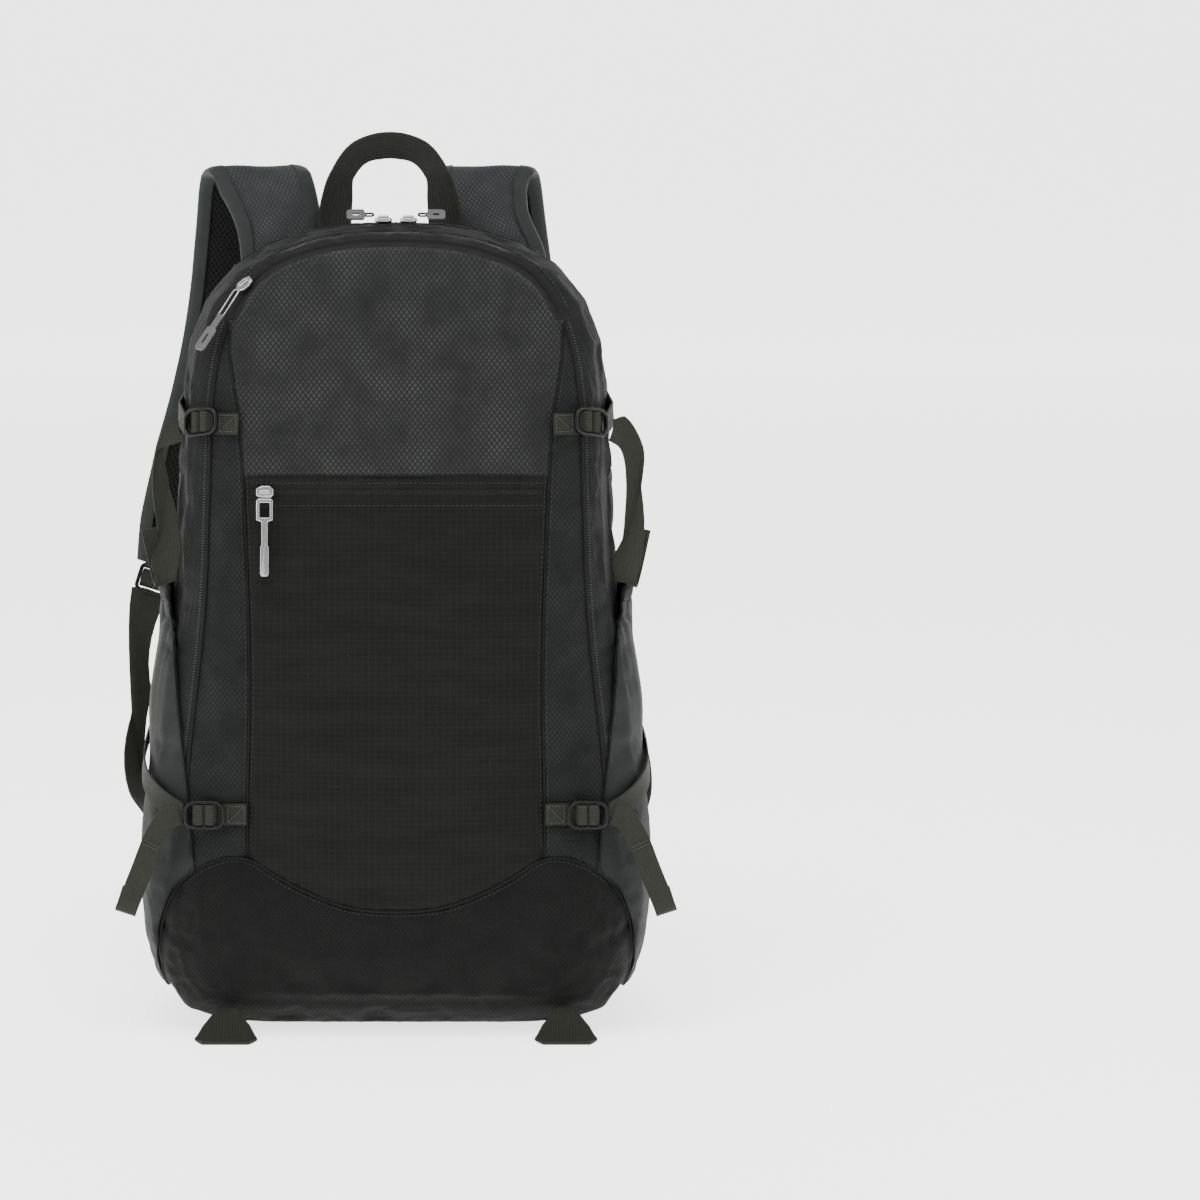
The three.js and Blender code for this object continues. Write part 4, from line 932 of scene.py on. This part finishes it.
for side, sign in (("left", -1), ("right", 1)):
    part = f"shoulder_strap_{side}"
    sections = sections_of(part, 8, (sign * 0.076, 0.085, 0.42), (0, -1, 0))
    sections[:, 9] -= 0.003
    sheets = [strip_along(f"strap_sheet_{side}", sections, 24, 5, pad_sheet(face)) for face in (1, -1)]
    sheets[0].data.materials.append(strap_face)
    sheets[1].data.materials.append(mesh_cloth)
    pad = joined(sheets)
    pad.name = f"strap_pad_{side}"
    alone(pad)
    bpy.ops.object.mode_set(mode="EDIT")
    bpy.ops.mesh.select_all(action="DESELECT")
    bpy.ops.mesh.select_mode(type="EDGE")
    bpy.ops.mesh.select_non_manifold()
    bpy.ops.mesh.bridge_edge_loops()
    bpy.ops.object.mode_set(mode="OBJECT")
    outward_faces(pad)
    bpy.ops.object.shade_smooth()
    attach(pad, "root")
    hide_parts(part)
    for edge in (-1, 1):
        label = "in" if edge * sign < 0 else "out"
        tape = strip_along(f"strap_binding_{side}_{label}", sections, 16, 5, edge_tape(edge))
        finished_with(tape, "SOLIDIFY", thickness=binding_thick, offset=0.0)
        outward_faces(tape)
        bpy.ops.object.shade_smooth()
        dressed(tape, part, "root", binding_tape, "pad_cloth")


# Webbing: ribbed polyester tape, cut flat and bent along its way. The straps under the shoulder
# straps, the haul loop, the compression straps with their tabs and tails, and the two base tabs.
def webbing_finish(name, dark, light, ridge):
    finish, shader = new_finish(name, 0.7, 0.15, 0.02)
    vector, u, v = weave_map(finish)
    ridges = lines_at(finish, u, ridge, 0.8)
    wave = worked(finish, "MULTIPLY_ADD", lines_at(finish, u, ridge, 1.0), 0.0003, v)
    weft = lines_at(finish, wave, 0.0009, 1.0)
    wear = grain(finish, vector, 140.0, 3.0)
    worn = worked(finish, "MULTIPLY", worked(finish, "ADD", ridges, wear), 0.45)
    share = worked(finish, "MULTIPLY_ADD", weft, 0.3, worn)
    finish.node_tree.links.new(blended(finish, share, dark, light), shader.inputs["Base Color"])
    raised(finish, shader, [(ridges, 0.00022), (weft, 0.0002), (wear, 0.0003)])
    return finish


strap_webbing = webbing_finish("strap_webbing", tone(14, 16, 12), tone(36, 38, 31), 0.0017)
loop_webbing = webbing_finish("loop_webbing", tone(14, 15, 13), tone(34, 36, 32), 0.0024)


def tape_shape(cup=0.0):
    def shape(wide, thick, run):
        share = np.linspace(-0.5, 0.5, 9)
        side = wide[:, None] * share[None, :]
        lift = cup * (share[None, :] ** 2 * 4 - 0.5) + 0 * side
        return side, lift, side
    return shape


def webbing(name, part, start, outward, finish, steps=6, thick=0.0013, cup=0.0004):
    """A CAD strap's place filled with tape, rounded at its woven edges."""
    sections = sections_of(part, 4, start, outward)
    tape = strip_along(name, sections, 8, steps, tape_shape(cup))
    finished_with(tape, "SOLIDIFY", thickness=thick, offset=0.0)
    outward_faces(tape)
    finished_with(
        tape, "BEVEL", width=thick * 0.3, segments=2, limit_method="ANGLE", angle_limit=math.radians(50),
    )
    alone(tape)
    bpy.ops.object.shade_smooth_by_angle(angle=math.radians(50))
    dressed(tape, part, "root", finish, "webbing")
    return sections


def box_corner(part, x, y, z):
    """A point of a node's box, each way from -1 (low) to 1 (high)."""
    low, high = (np.array(c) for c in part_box(part))
    return Vector((low + high) / 2 + (high - low) / 2 * np.array([x, y, z]))


webbing("haul_loop_tape", "haul_loop", (-0.036, 0.085, 0.47), (0, 1, 0), loop_webbing, thick=0.0021, cup=0.0)
tape_sections = {}
for side, sign in (("left", -1), ("right", 1)):
    top = box_corner(f"strap_buckle_{side}", 0, 0, -1)
    webbing(f"strap_webbing_{side}_tape", f"strap_webbing_{side}", top, (0, 1, 0), strap_webbing)
    for level in ("upper", "lower"):
        label = f"{level}_{side}"
        part = f"{label}_tab"
        tape_sections[part] = webbing(
            f"{part}_tape", part, box_corner(part, -sign, 0, 0), (0, -1, 0), strap_webbing, steps=3,
        )
        part = f"{label}_strap"
        tape_sections[part] = webbing(
            f"{part}_tape", part, box_corner(f"{label}_buckle", sign * 0.8, -0.5, 0), (sign, -0.5, 0),
            strap_webbing,
        )
        part = f"{label}_tail"
        tape_sections[part] = webbing(
            f"{part}_tape", part, box_corner(f"{label}_buckle", sign * 0.9, -0.9, 0), (0, -1, 0),
            strap_webbing, cup=0.0008,
        )
    part = f"foot_tab_{side}"
    webbing(
        f"{part}_tape", part, box_corner(part, 0, 1, 1), (0, -1, 0.3), strap_webbing, thick=0.0022, cup=0.0,
    )


# Buckles: moulded black plastic ladder frames with rounded ends. The webbing is led over their cross
# bars in two humps. Four small ones close the compression straps, two broad ones the shoulder straps.
def seat_of(part, long_way, out_way):
    """Turn and place of a flat CAD piece: x across, y along it, z out of it, from its back's middle."""
    mesh = nodes[part].data
    at = np.array([v.co for v in mesh.vertices])
    facing = np.array([f.normal for f in mesh.polygons])
    area = np.array([f.area for f in mesh.polygons])
    ways = np.linalg.eigh((facing * area[:, None]).T @ facing)[1].T
    out = ways[2] * np.sign(ways[2] @ out_way)
    along = max(ways[:2], key=lambda w: abs(w @ long_way))
    along = along * np.sign(along @ long_way)
    across = np.cross(along, out)
    axes = np.stack([across, along, out])
    low, high = (at @ axes.T).min(0), (at @ axes.T).max(0)
    place = axes.T @ np.array([(low[0] + high[0]) / 2, (low[1] + high[1]) / 2, low[2]])
    seat = Matrix.Translation(place) @ Matrix(axes.T.tolist()).to_4x4()
    return seat, high - low


def set_down(obj, seat):
    """Puts a piece made at the origin on its seat, with its place in its mesh."""
    alone(obj)
    obj.matrix_world = seat
    bpy.ops.object.transform_apply(location=True, rotation=True, scale=True)


def ladder_frame(name, wide, long, low, high, rim, corner, bars):
    """A rounded frame with cross bars, lying round the origin: bars give their y, width and top."""
    bpy.ops.object.select_all(action="DESELECT")
    bpy.ops.mesh.primitive_plane_add(size=1, location=(0, 0, low))
    ladder = bpy.context.active_object
    ladder.name = name
    ladder.scale = (wide, long, 1)
    bpy.ops.object.transform_apply(location=True, rotation=True, scale=True)
    bpy.ops.object.mode_set(mode="EDIT")
    bpy.ops.mesh.bevel(offset=corner, segments=7, affect="VERTICES")
    bpy.ops.mesh.inset(thickness=rim)
    bpy.ops.mesh.delete(type="FACE")
    bpy.ops.mesh.select_all(action="SELECT")
    bpy.ops.mesh.extrude_region_move(TRANSFORM_OT_translate={"value": (0, 0, high - low)})
    bpy.ops.object.mode_set(mode="OBJECT")
    rungs = []
    for y, thick, top in bars:
        bpy.ops.mesh.primitive_cube_add(size=1, location=(0, y, (low + top) / 2))
        rung = bpy.context.active_object
        rung.scale = (wide - rim, thick, top - low)
        bpy.ops.object.transform_apply(location=True, rotation=True, scale=True)
        rungs.append(rung)
    outward_faces(joined([ladder, *rungs]))
    finished_with(
        ladder, "BEVEL", width=min(rim, high - low) * 0.36, segments=3,
        limit_method="ANGLE", angle_limit=math.radians(40),
    )
    bpy.ops.object.shade_smooth_by_angle(angle=math.radians(60))
    return ladder


def threaded(name, seat, rows, wide, thick, finish):
    """Webbing led through a frame: rows give its y and z in millimetres."""
    seat_array = np.array(seat)
    sections = []
    for y, z in rows:
        middle = seat_array @ np.array([0, y / 1000, z / 1000, 1])
        sections.append([*middle[:3], *seat_array[:3, 0], *seat_array[:3, 2], wide, thick])
    tape = strip_along(name, np.array(sections), 8, 4, tape_shape())
    tape.data.materials.append(finish)
    finished_with(tape, "SOLIDIFY", thickness=thick, offset=0.0)
    outward_faces(tape)
    bpy.ops.object.shade_smooth_by_angle(angle=math.radians(50))
    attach(tape, "root")


def hard_finish(name, roughness, specular, fineness, detail, dark, light, depth):
    """A hard finish whose fine marks shade and raise it; also its shader, its place and its marks."""
    finish, shader = new_finish(name, roughness, specular)
    place = node(finish, "ShaderNodeTexCoord").outputs["Object"]
    marks = grain(finish, place, fineness, detail)
    finish.node_tree.links.new(blended(finish, marks, dark, light), shader.inputs["Base Color"])
    raised(finish, shader, [(marks, depth)])
    return finish, shader, place, marks


moulded_black, moulded_shader, moulded_place, _ = hard_finish(
    "moulded_black", roughness=0.3, specular=0.16, fineness=700.0, detail=3.0,
    dark=tone(4, 4, 4), light=tone(14, 14, 15), depth=0.00008,
)
moulded_black.node_tree.links.new(
    worked(moulded_black, "MULTIPLY_ADD", grain(moulded_black, moulded_place, 90.0, 2.0), 0.2, 0.16),
    moulded_shader.inputs["Roughness"],
)

level_hump = [
    (-7.4, 0.2), (-6.2, 2.2), (-4.9, 4.2), (-3.4, 4.6), (-1.6, 4.4), (-0.5, 2.9), (0.1, 2.0), (0.8, 2.9),
    (1.9, 4.4), (3.6, 4.6), (5.2, 4.1), (6.4, 2.2), (7.2, 0.6),
]
strap_hump = [
    (5.6, -0.6), (4.6, 1.6), (3.4, 3.9), (1.2, 4.6), (-0.9, 4.2), (-2.6, 2.4), (-4.4, 0.4), (-5.8, -0.8),
]
strap_fold = [
    (22.0, 1.9), (17.0, 2.6), (13.0, 3.6), (10.4, 4.4), (8.0, 4.0), (6.9, 1.6), (8.0, -0.7), (10.4, -1.1),
    (13.0, -0.6), (17.0, 0.2), (22.0, 0.9),
]
for side, sign in (("left", -1), ("right", 1)):
    for level in ("upper", "lower"):
        part = f"{level}_{side}_buckle"
        seat, size = seat_of(part, (sign, 0, 0), (0, -1, 0))
        ladder = ladder_frame(
            f"{part}_frame", size[0], size[1], low=0.0011, high=0.0040, rim=0.0023, corner=0.0066,
            bars=[(-0.0033, 0.0026, 0.0034), (0.0036, 0.0026, 0.0034)],
        )
        set_down(ladder, seat)
        dressed(ladder, part, "root", moulded_black, "black_plastic")
        threaded(f"{part}_webbing", seat, level_hump, wide=0.0128, thick=0.0012, finish=strap_webbing)
    part = f"strap_buckle_{side}"
    seat, size = seat_of(part, (0, 0, 1), (0, -1, 0))
    ladder = ladder_frame(
        f"{part}_frame", size[0], size[1], low=0.0, high=0.0036, rim=0.0026, corner=0.0046,
        bars=[(0.0012, 0.0030, 0.0036)],
    )
    set_down(ladder, seat)
    dressed(ladder, part, "root", moulded_black, "black_plastic")
    threaded(f"{part}_webbing", seat, strap_hump, wide=0.0192, thick=0.0013, finish=strap_webbing)
    threaded(f"strap_end_fold_{side}", seat, strap_fold, wide=0.0190, thick=0.0013, finish=strap_webbing)


# Zip sliders and pulls. Sliders are die-cast and plated, with a bridge that carries the pull. The
# pocket's pull is one bright casting; the others hang grey rubber tabs on wire or cord loops.
def rounded_plate(name, part, edge):
    """A copy of a flat CAD piece with its edges rounded."""
    plate = copy_of(part, name)
    alone(plate)
    bpy.ops.object.mode_set(mode="EDIT")
    bpy.ops.mesh.select_all(action="SELECT")
    bpy.ops.mesh.dissolve_limited(angle_limit=math.radians(2))
    bpy.ops.object.mode_set(mode="OBJECT")
    finished_with(plate, "BEVEL", width=edge, segments=3, limit_method="ANGLE", angle_limit=math.radians(35))
    bpy.ops.object.shade_smooth_by_angle(angle=math.radians(50))
    return plate


def kept_below(obj, seat, y):
    """Cuts away what lies above y on a seat."""
    alone(obj)
    bpy.ops.object.mode_set(mode="EDIT")
    bpy.ops.mesh.select_all(action="SELECT")
    bpy.ops.mesh.bisect(
        plane_co=seat @ Vector((0, y, 0)), plane_no=seat.to_3x3() @ Vector((0, 1, 0)),
        use_fill=True, clear_outer=True,
    )
    bpy.ops.object.mode_set(mode="OBJECT")


def long_ring(name, half, wire, top, bottom, lift):
    """A ring of wire drawn out from top to bottom along y, lying lift above the seat."""
    bpy.ops.object.select_all(action="DESELECT")
    bpy.ops.mesh.primitive_torus_add(
        major_segments=28, minor_segments=10, major_radius=half - wire / 2, minor_radius=wire / 2,
        location=(0, 0, 0),
    )
    ring = bpy.context.active_object
    ring.name = name
    at = places(ring)
    reach = (top - bottom) / 2 - half
    at[:, 1] += np.where(at[:, 1] > 0, reach, -reach) + (top + bottom) / 2
    at[:, 2] += lift
    put(ring, at)
    bpy.ops.object.shade_smooth()
    return ring


bright_metal, metal_shader, _, metal_marks = hard_finish(
    "plated_metal", roughness=0.22, specular=0.5, fineness=600.0, detail=4.0,
    dark=tone(142, 142, 143), light=tone(166, 166, 167), depth=0.00001,
)
metal_shader.inputs["Metallic"].default_value = 1.0
bright_metal.node_tree.links.new(
    worked(bright_metal, "MULTIPLY_ADD", metal_marks, 0.14, 0.16), metal_shader.inputs["Roughness"],
)
grey_rubber = hard_finish(
    "grey_rubber", roughness=0.5, specular=0.45, fineness=420.0, detail=4.0,
    dark=tone(54, 54, 55), light=tone(78, 78, 78), depth=0.00015,
)[0]

pull_ways = {
    "pocket": ((0, 0, 1), (0, -1, 0)), "corner": ((0.46, 0, 0.89), (0, -1, 0)),
    "top_left": ((1, 0, 0), (0, -0.57, 0.82)), "top_right": ((-1, 0, 0), (0, -0.57, 0.82)),
}
slider_ways = {
    "pocket": ((1, 0, 0), (0, -1, 0)), "corner": ((0.7, 0, 0.7), (0, -1, 0)),
    "top_left": ((1, 0, 0), (0, 0, 1)), "top_right": ((1, 0, 0), (0, 0, 1)),
}


bridge_size, bridge_lift = (0.0026, 0.0072, 0.0024), 0.0004
pull_edge = 0.0006
for name in ("pocket", "corner", "top_left", "top_right"):
    kind, _, side = name.partition("_")
    slider = f"{kind}_slider_{side}" if side else f"{kind}_slider"
    pull = f"{kind}_pull_{side}" if side else f"{kind}_pull"
    puller = f"{kind}_puller_{side}" if side else f"{kind}_puller"
    seat, size = seat_of(slider, *slider_ways[name])
    body = rounded_plate(f"{slider}_body", slider, edge=0.0008)
    dressed(body, slider, "root", bright_metal, "silver_metal")
    bpy.ops.object.select_all(action="DESELECT")
    bpy.ops.mesh.primitive_cube_add(size=1, location=(0, 0, 0))
    bridge = bpy.context.active_object
    bridge.name = f"{slider}_bridge"
    bridge.scale = bridge_size
    bpy.ops.object.transform_apply(location=True, rotation=True, scale=True)
    finished_with(bridge, "BEVEL", width=0.0009, segments=3)
    bpy.ops.object.shade_smooth()
    set_down(bridge, seat @ Matrix.Translation((0, 0, size[2] + bridge_lift)))
    dressed(bridge, slider, "root", bright_metal, "silver_metal")
    seat, size = seat_of(pull, *pull_ways[name])
    top, lift = size[1] / 2, size[2] / 2
    if kind == "pocket":
        casting = rounded_plate(f"{pull}_casting", pull, pull_edge)
        dressed(casting, pull, puller, bright_metal, "silver_metal")
        continue
    tab = rounded_plate(f"{pull}_tab", pull, pull_edge)
    if kind == "corner":
        kept_below(tab, seat, top - 0.0206)
        ring = long_ring(
            f"{pull}_wire", half=0.0026, wire=0.0010, top=top - 0.0002, bottom=top - 0.0212, lift=lift,
        )
        set_down(ring, seat)
        dressed(ring, pull, puller, bright_metal, "silver_metal")
    else:
        kept_below(tab, seat, top - 0.0062)
        ring = long_ring(
            f"{pull}_cord", half=0.0021, wire=0.0013, top=top - 0.0001, bottom=top - 0.0070, lift=lift,
        )
        set_down(ring, seat)
        dressed(ring, pull, puller, black_piping, "black_plastic")
        collar = long_ring(
            f"{pull}_collar", half=0.0026, wire=0.0011, top=top - 0.0050, bottom=top - 0.0102, lift=lift,
        )
        set_down(collar, seat)
        dressed(collar, pull, puller, bright_metal, "silver_metal")
    dressed(tab, pull, puller, grey_rubber, "grey_plastic")


# Coil zips: fine nylon teeth down the middle of each tape. One arches over the front, one goes round
# the whole wall, and one closes the front pocket. Each ends under its sliders.
def on_skin(starts, ways):
    """Where rays from outside meet the bag, with the way out there."""
    found = [skin_tree.ray_cast(Vector(s), Vector(w)) for s, w in zip(starts, ways)]
    found = [f for f in found if f[0] is not None]
    return np.array([f[0] for f in found]), np.array([f[1] for f in found])


def evenly(line, pitch):
    """Points every pitch metres along a line."""
    run = run_along(line)
    return read_at(np.arange(pitch / 2, run[-1], pitch), run, line)


def on_front(flat_line, pitch):
    """Even places along a line drawn on the front in x and z."""
    flat = evenly(flat_line, pitch)
    in_front = -0.4
    starts = np.stack([flat[:, 0], np.full(len(flat), in_front), flat[:, 1]], 1)
    return on_skin(starts, np.tile((0.0, 1.0, 0.0), (len(flat), 1)))


def sewn_row(name, small, middles, outs, finish, lift=0.0, turned=False):
    """One piece of a small shape repeated along its places, x along the row and z outwards."""
    base = places(small)
    along = np.gradient(middles, axis=0)
    along -= outs * (along * outs).sum(1)[:, None]
    along /= np.linalg.norm(along, axis=1)[:, None]
    across = np.cross(outs, along)
    if turned:
        along, across = across, -along
    axes = np.stack([along, across, outs], 1)
    at = np.einsum("pk,nkc->npc", base, axes) + (middles + outs * lift)[:, None, :]
    faces = [tuple(f.vertices) for f in small.data.polygons]
    count = len(base)
    every = [tuple(i + n * count for i in face) for n in range(len(middles)) for face in faces]
    mesh = bpy.data.meshes.new(name)
    mesh.from_pydata(at.reshape(-1, 3).tolist(), [], every)
    mesh.materials.append(finish)
    row = alone(placed(name, mesh))
    bpy.ops.object.shade_smooth()
    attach(row, "root")


bpy.ops.object.select_all(action="DESELECT")
tooth_round, tooth_long, tooth_pitch, tooth_lift = 0.00042, 0.0034, 0.0013, 0.0002
bpy.ops.mesh.primitive_cylinder_add(
    vertices=6, radius=tooth_round, depth=tooth_long, rotation=(math.pi / 2, 0, 0),
)
tooth = bpy.context.active_object
tooth.name = "tooth"
bpy.ops.object.transform_apply(location=True, rotation=True, scale=True)
teeth_finish = piping_finish("coil_nylon", tone(20, 20, 20))
arch_flat = seam_line[seam_line[:, 1] > arch_end + 0.002]
arch_at, arch_out = on_front(arch_flat, tooth_pitch)
sewn_row("front_zip_teeth", tooth, arch_at, arch_out, teeth_finish, tooth_lift)
turn = np.roll(outline, -1, 0) - np.roll(outline, 1, 0)
turn = np.stack([turn[:, 1], -turn[:, 0]], 1) / np.linalg.norm(turn, axis=1)[:, None]
wall_line = np.hstack([outline, turn])[outline[:, 1] > zip_end + 0.002]
wall_line = evenly(wall_line, tooth_pitch)
clear_off = 0.05
wall_starts = np.stack([
    wall_line[:, 0] + wall_line[:, 2] * clear_off, np.full(len(wall_line), zip_y),
    wall_line[:, 1] + wall_line[:, 3] * clear_off,
], 1)
wall_ways = np.stack([-wall_line[:, 2], np.zeros(len(wall_line)), -wall_line[:, 3]], 1)
wall_at, wall_out = on_skin(wall_starts, wall_ways)
sewn_row("main_zip_teeth", tooth, wall_at, wall_out, teeth_finish, tooth_lift)
band_middle = band_top - band_tall / 2
pocket_half = float(centre_gap(np.array([[0.0, 0.0, band_middle]]))[0]) - 0.004
pocket_flat = np.array([(-pocket_half, band_middle), (pocket_half, band_middle)])
pocket_at, pocket_out = on_front(pocket_flat, tooth_pitch)
sewn_row("pocket_zip_teeth", tooth, pocket_at, pocket_out, teeth_finish, tooth_lift / 2)
bpy.data.objects.remove(tooth)


# Seams: polyester thread in short even stitches. Rows run beside the piping, the panel seams and the
# zip tapes, and boxes and bars hold the ends of the webbing.
bpy.ops.object.select_all(action="DESELECT")
bpy.ops.mesh.primitive_uv_sphere_add(segments=6, ring_count=4, radius=1)
stitch = bpy.context.active_object
stitch.name = "stitch"
stitch_half = (0.00115, 0.00026, 0.0002)
stitch.scale = stitch_half
bpy.ops.object.transform_apply(location=True, rotation=True, scale=True)
dark_thread = piping_finish("dark_thread", tone(30, 31, 31))
grey_thread = piping_finish("grey_thread", tone(44, 46, 46))
overlock_pitch, panel_pitch, arch_pitch, row_pitch, box_pitch = 0.0017, 0.0031, 0.0028, 0.0029, 0.0023


def beside_line(flat_line, off):
    """A flat line moved sideways, to its left when off is above nothing."""
    way = np.gradient(flat_line, axis=0)
    way /= np.linalg.norm(way, axis=1)[:, None]
    return flat_line + np.stack([-way[:, 1], way[:, 0]], 1) * off


above_base = base_gap(np.stack([seam_line[:, 0], 0 * seam_line[:, 0], seam_line[:, 1]], 1)) < -0.003
for side, sign in (("left", -1), ("right", 1)):
    outer = seam_line[above_base & (seam_line[:, 1] < arch_end) & (seam_line[:, 0] * sign > 0)]
    outer = outer[np.argsort(outer[:, 1])]
    at, out = on_front(beside_line(outer, -sign * 0.0032), overlock_pitch)
    sewn_row(f"overlock_{side}", stitch, at, out, grey_thread, turned=True)
    rise = np.linspace(0.172 * body_high, 0.88 * body_high, 60)
    centre = np.stack([sign * read_rows(centre_rows, rise / body_high) * body_wide / 2, rise], 1)
    centre = centre[base_gap(np.stack([centre[:, 0], 0 * rise, rise], 1)) < -0.004]
    for off, label in ((0.0022, "in"), (-0.0022, "out")):
        at, out = on_front(beside_line(centre, sign * off), panel_pitch)
        sewn_row(f"panel_stitches_{side}_{label}", stitch, at, out, dark_thread)
    at, out = on_front(beside_line(arch_flat, sign * (half_zip + 0.0016)), arch_pitch)
    sewn_row(f"arch_stitches_{side}", stitch, at, out, grey_thread)
    starts = wall_starts + np.array([0, sign * (half_zip + 0.0018), 0])
    at, out = (found[::2] for found in on_skin(starts, wall_ways))
    sewn_row(f"wall_stitches_{side}", stitch, at, out, dark_thread)
base_flat = base_line[base_line[:, 1] > 0.03]
base_flat = base_flat[np.abs(base_flat[:, 0]) < 0.138]
at, out = on_front(beside_line(base_flat, -0.0024), row_pitch)
sewn_row("base_stitches", stitch, at, out, dark_thread)
band_rows = (
    (band_top + 0.0022, "over"), (band_top - band_tall + 0.0018, "under"), (band_top - 0.0045, "tape"),
)
for level, label in band_rows:
    at, out = on_front(np.array([(-pocket_half, level), (pocket_half, level)]), row_pitch)
    sewn_row(f"band_stitches_{label}", stitch, at, out, dark_thread)


def on_tape(sections, rows, lift):
    """Places on a strap: rows give how far along it in metres, and how far across as a share."""
    closer, run = followed(sections, 6)
    row = evenly(np.array(rows, float) * np.array([1, sections[0, 9]]), box_pitch)
    at = read_at(row[:, 0], run, closer)
    outs = at[:, 6:9] / np.linalg.norm(at[:, 6:9], axis=1)[:, None]
    return at[:, :3] + at[:, 3:6] * row[:, 1:2] + outs * lift, outs


box_rows = [(0.0016, -0.38), (0.0016, 0.38), (0.0118, 0.38), (0.0118, -0.38), (0.0016, -0.38), (0.0118, 0.38)]
for part, sections in tape_sections.items():
    if part.endswith("_tab"):
        at, out = on_tape(sections, box_rows, 0.0009)
        sewn_row(f"{part}_box", stitch, at, out, grey_thread)
    elif part.endswith("_tail"):
        for bar in (0.026, 0.0283):
            for face in (-1, 1):
                at, out = on_tape(sections, [(bar, -0.42), (bar, 0.42)], 0.0009 * face)
                name = f"{part}_bar_{round(bar * 1e4)}_{'in' if face < 0 else 'out'}"
                sewn_row(name, stitch, at, out, grey_thread)
bpy.data.objects.remove(stitch)


# Floor, light and camera: a plain pale studio, and the photo's low view of the front
bpy.ops.object.select_all(action="DESELECT")
bpy.ops.mesh.primitive_plane_add(size=14, location=(0, 2, 0))
floor = bpy.context.active_object
floor.name = "studio_floor"
bpy.ops.object.mode_set(mode="EDIT")
bpy.ops.mesh.select_mode(type="EDGE")
bpy.ops.mesh.select_all(action="DESELECT")
bpy.ops.object.mode_set(mode="OBJECT")
for edge in floor.data.edges:
    edge.select = all(floor.data.vertices[i].co.y > 6 for i in edge.vertices)
bpy.ops.object.mode_set(mode="EDIT")
bpy.ops.mesh.extrude_region_move(TRANSFORM_OT_translate={"value": (0, 0, 7)})
bpy.ops.object.mode_set(mode="OBJECT")
bpy.ops.object.transform_apply(location=True, rotation=True, scale=True)
finished_with(floor, "BEVEL", width=2.5, segments=12, limit_method="ANGLE")
bpy.ops.object.shade_smooth()
paper, paper_shader = new_finish("studio_paper", 0.85, 0.1)
paper_shader.inputs["Base Color"].default_value = tone(240, 240, 239)
paper_shader.inputs["Emission Color"].default_value = (1.0, 1.0, 0.99, 1.0)
paper_shader.inputs["Emission Strength"].default_value = 2.0
floor.data.materials.append(paper)

world = bpy.data.worlds.new("studio_air")
bpy.context.scene.world = world
world.use_nodes = True
world.node_tree.nodes["Background"].inputs["Color"].default_value = (1.0, 1.0, 0.995, 1.0)
world.node_tree.nodes["Background"].inputs["Strength"].default_value = 1.0


def soft_light(name, place, aim, wide, power):
    bpy.ops.object.light_add(type="AREA", location=place)
    lamp = bpy.context.active_object
    lamp.name = name
    lamp.data.shape = "RECTANGLE"
    lamp.data.size, lamp.data.size_y = wide
    lamp.data.energy = power
    lamp.rotation_euler = (Vector(aim) - Vector(place)).to_track_quat("-Z", "Y").to_euler()
    return lamp


soft_light("top_softbox", (-0.2, -0.9, 2.2), (0, 0, 0.2), (1.6, 1.2), 50)
soft_light("left_softbox", (-1.9, -1.1, 0.9), (0, 0, 0.3), (1.1, 1.4), 26)
soft_light("right_softbox", (1.9, -0.8, 1.0), (0, 0, 0.3), (0.9, 1.4), 20)

lens_aim = Vector((0.0, 0.0, 0.27))
lens_far, view_wide, film_wide = 2.35, 0.7706, 36
lens_up = math.radians(7.5)
bpy.ops.object.camera_add(
    location=lens_aim + lens_far * Vector((0, -math.cos(lens_up), math.sin(lens_up))),
)
camera = bpy.context.active_object
camera.name = "front_camera"
camera.rotation_euler = (math.pi / 2 - lens_up, 0, 0)
camera.data.sensor_width = film_wide
camera.data.lens = film_wide * lens_far / view_wide
camera.data.shift_x = 0.17
bpy.context.scene.camera = camera
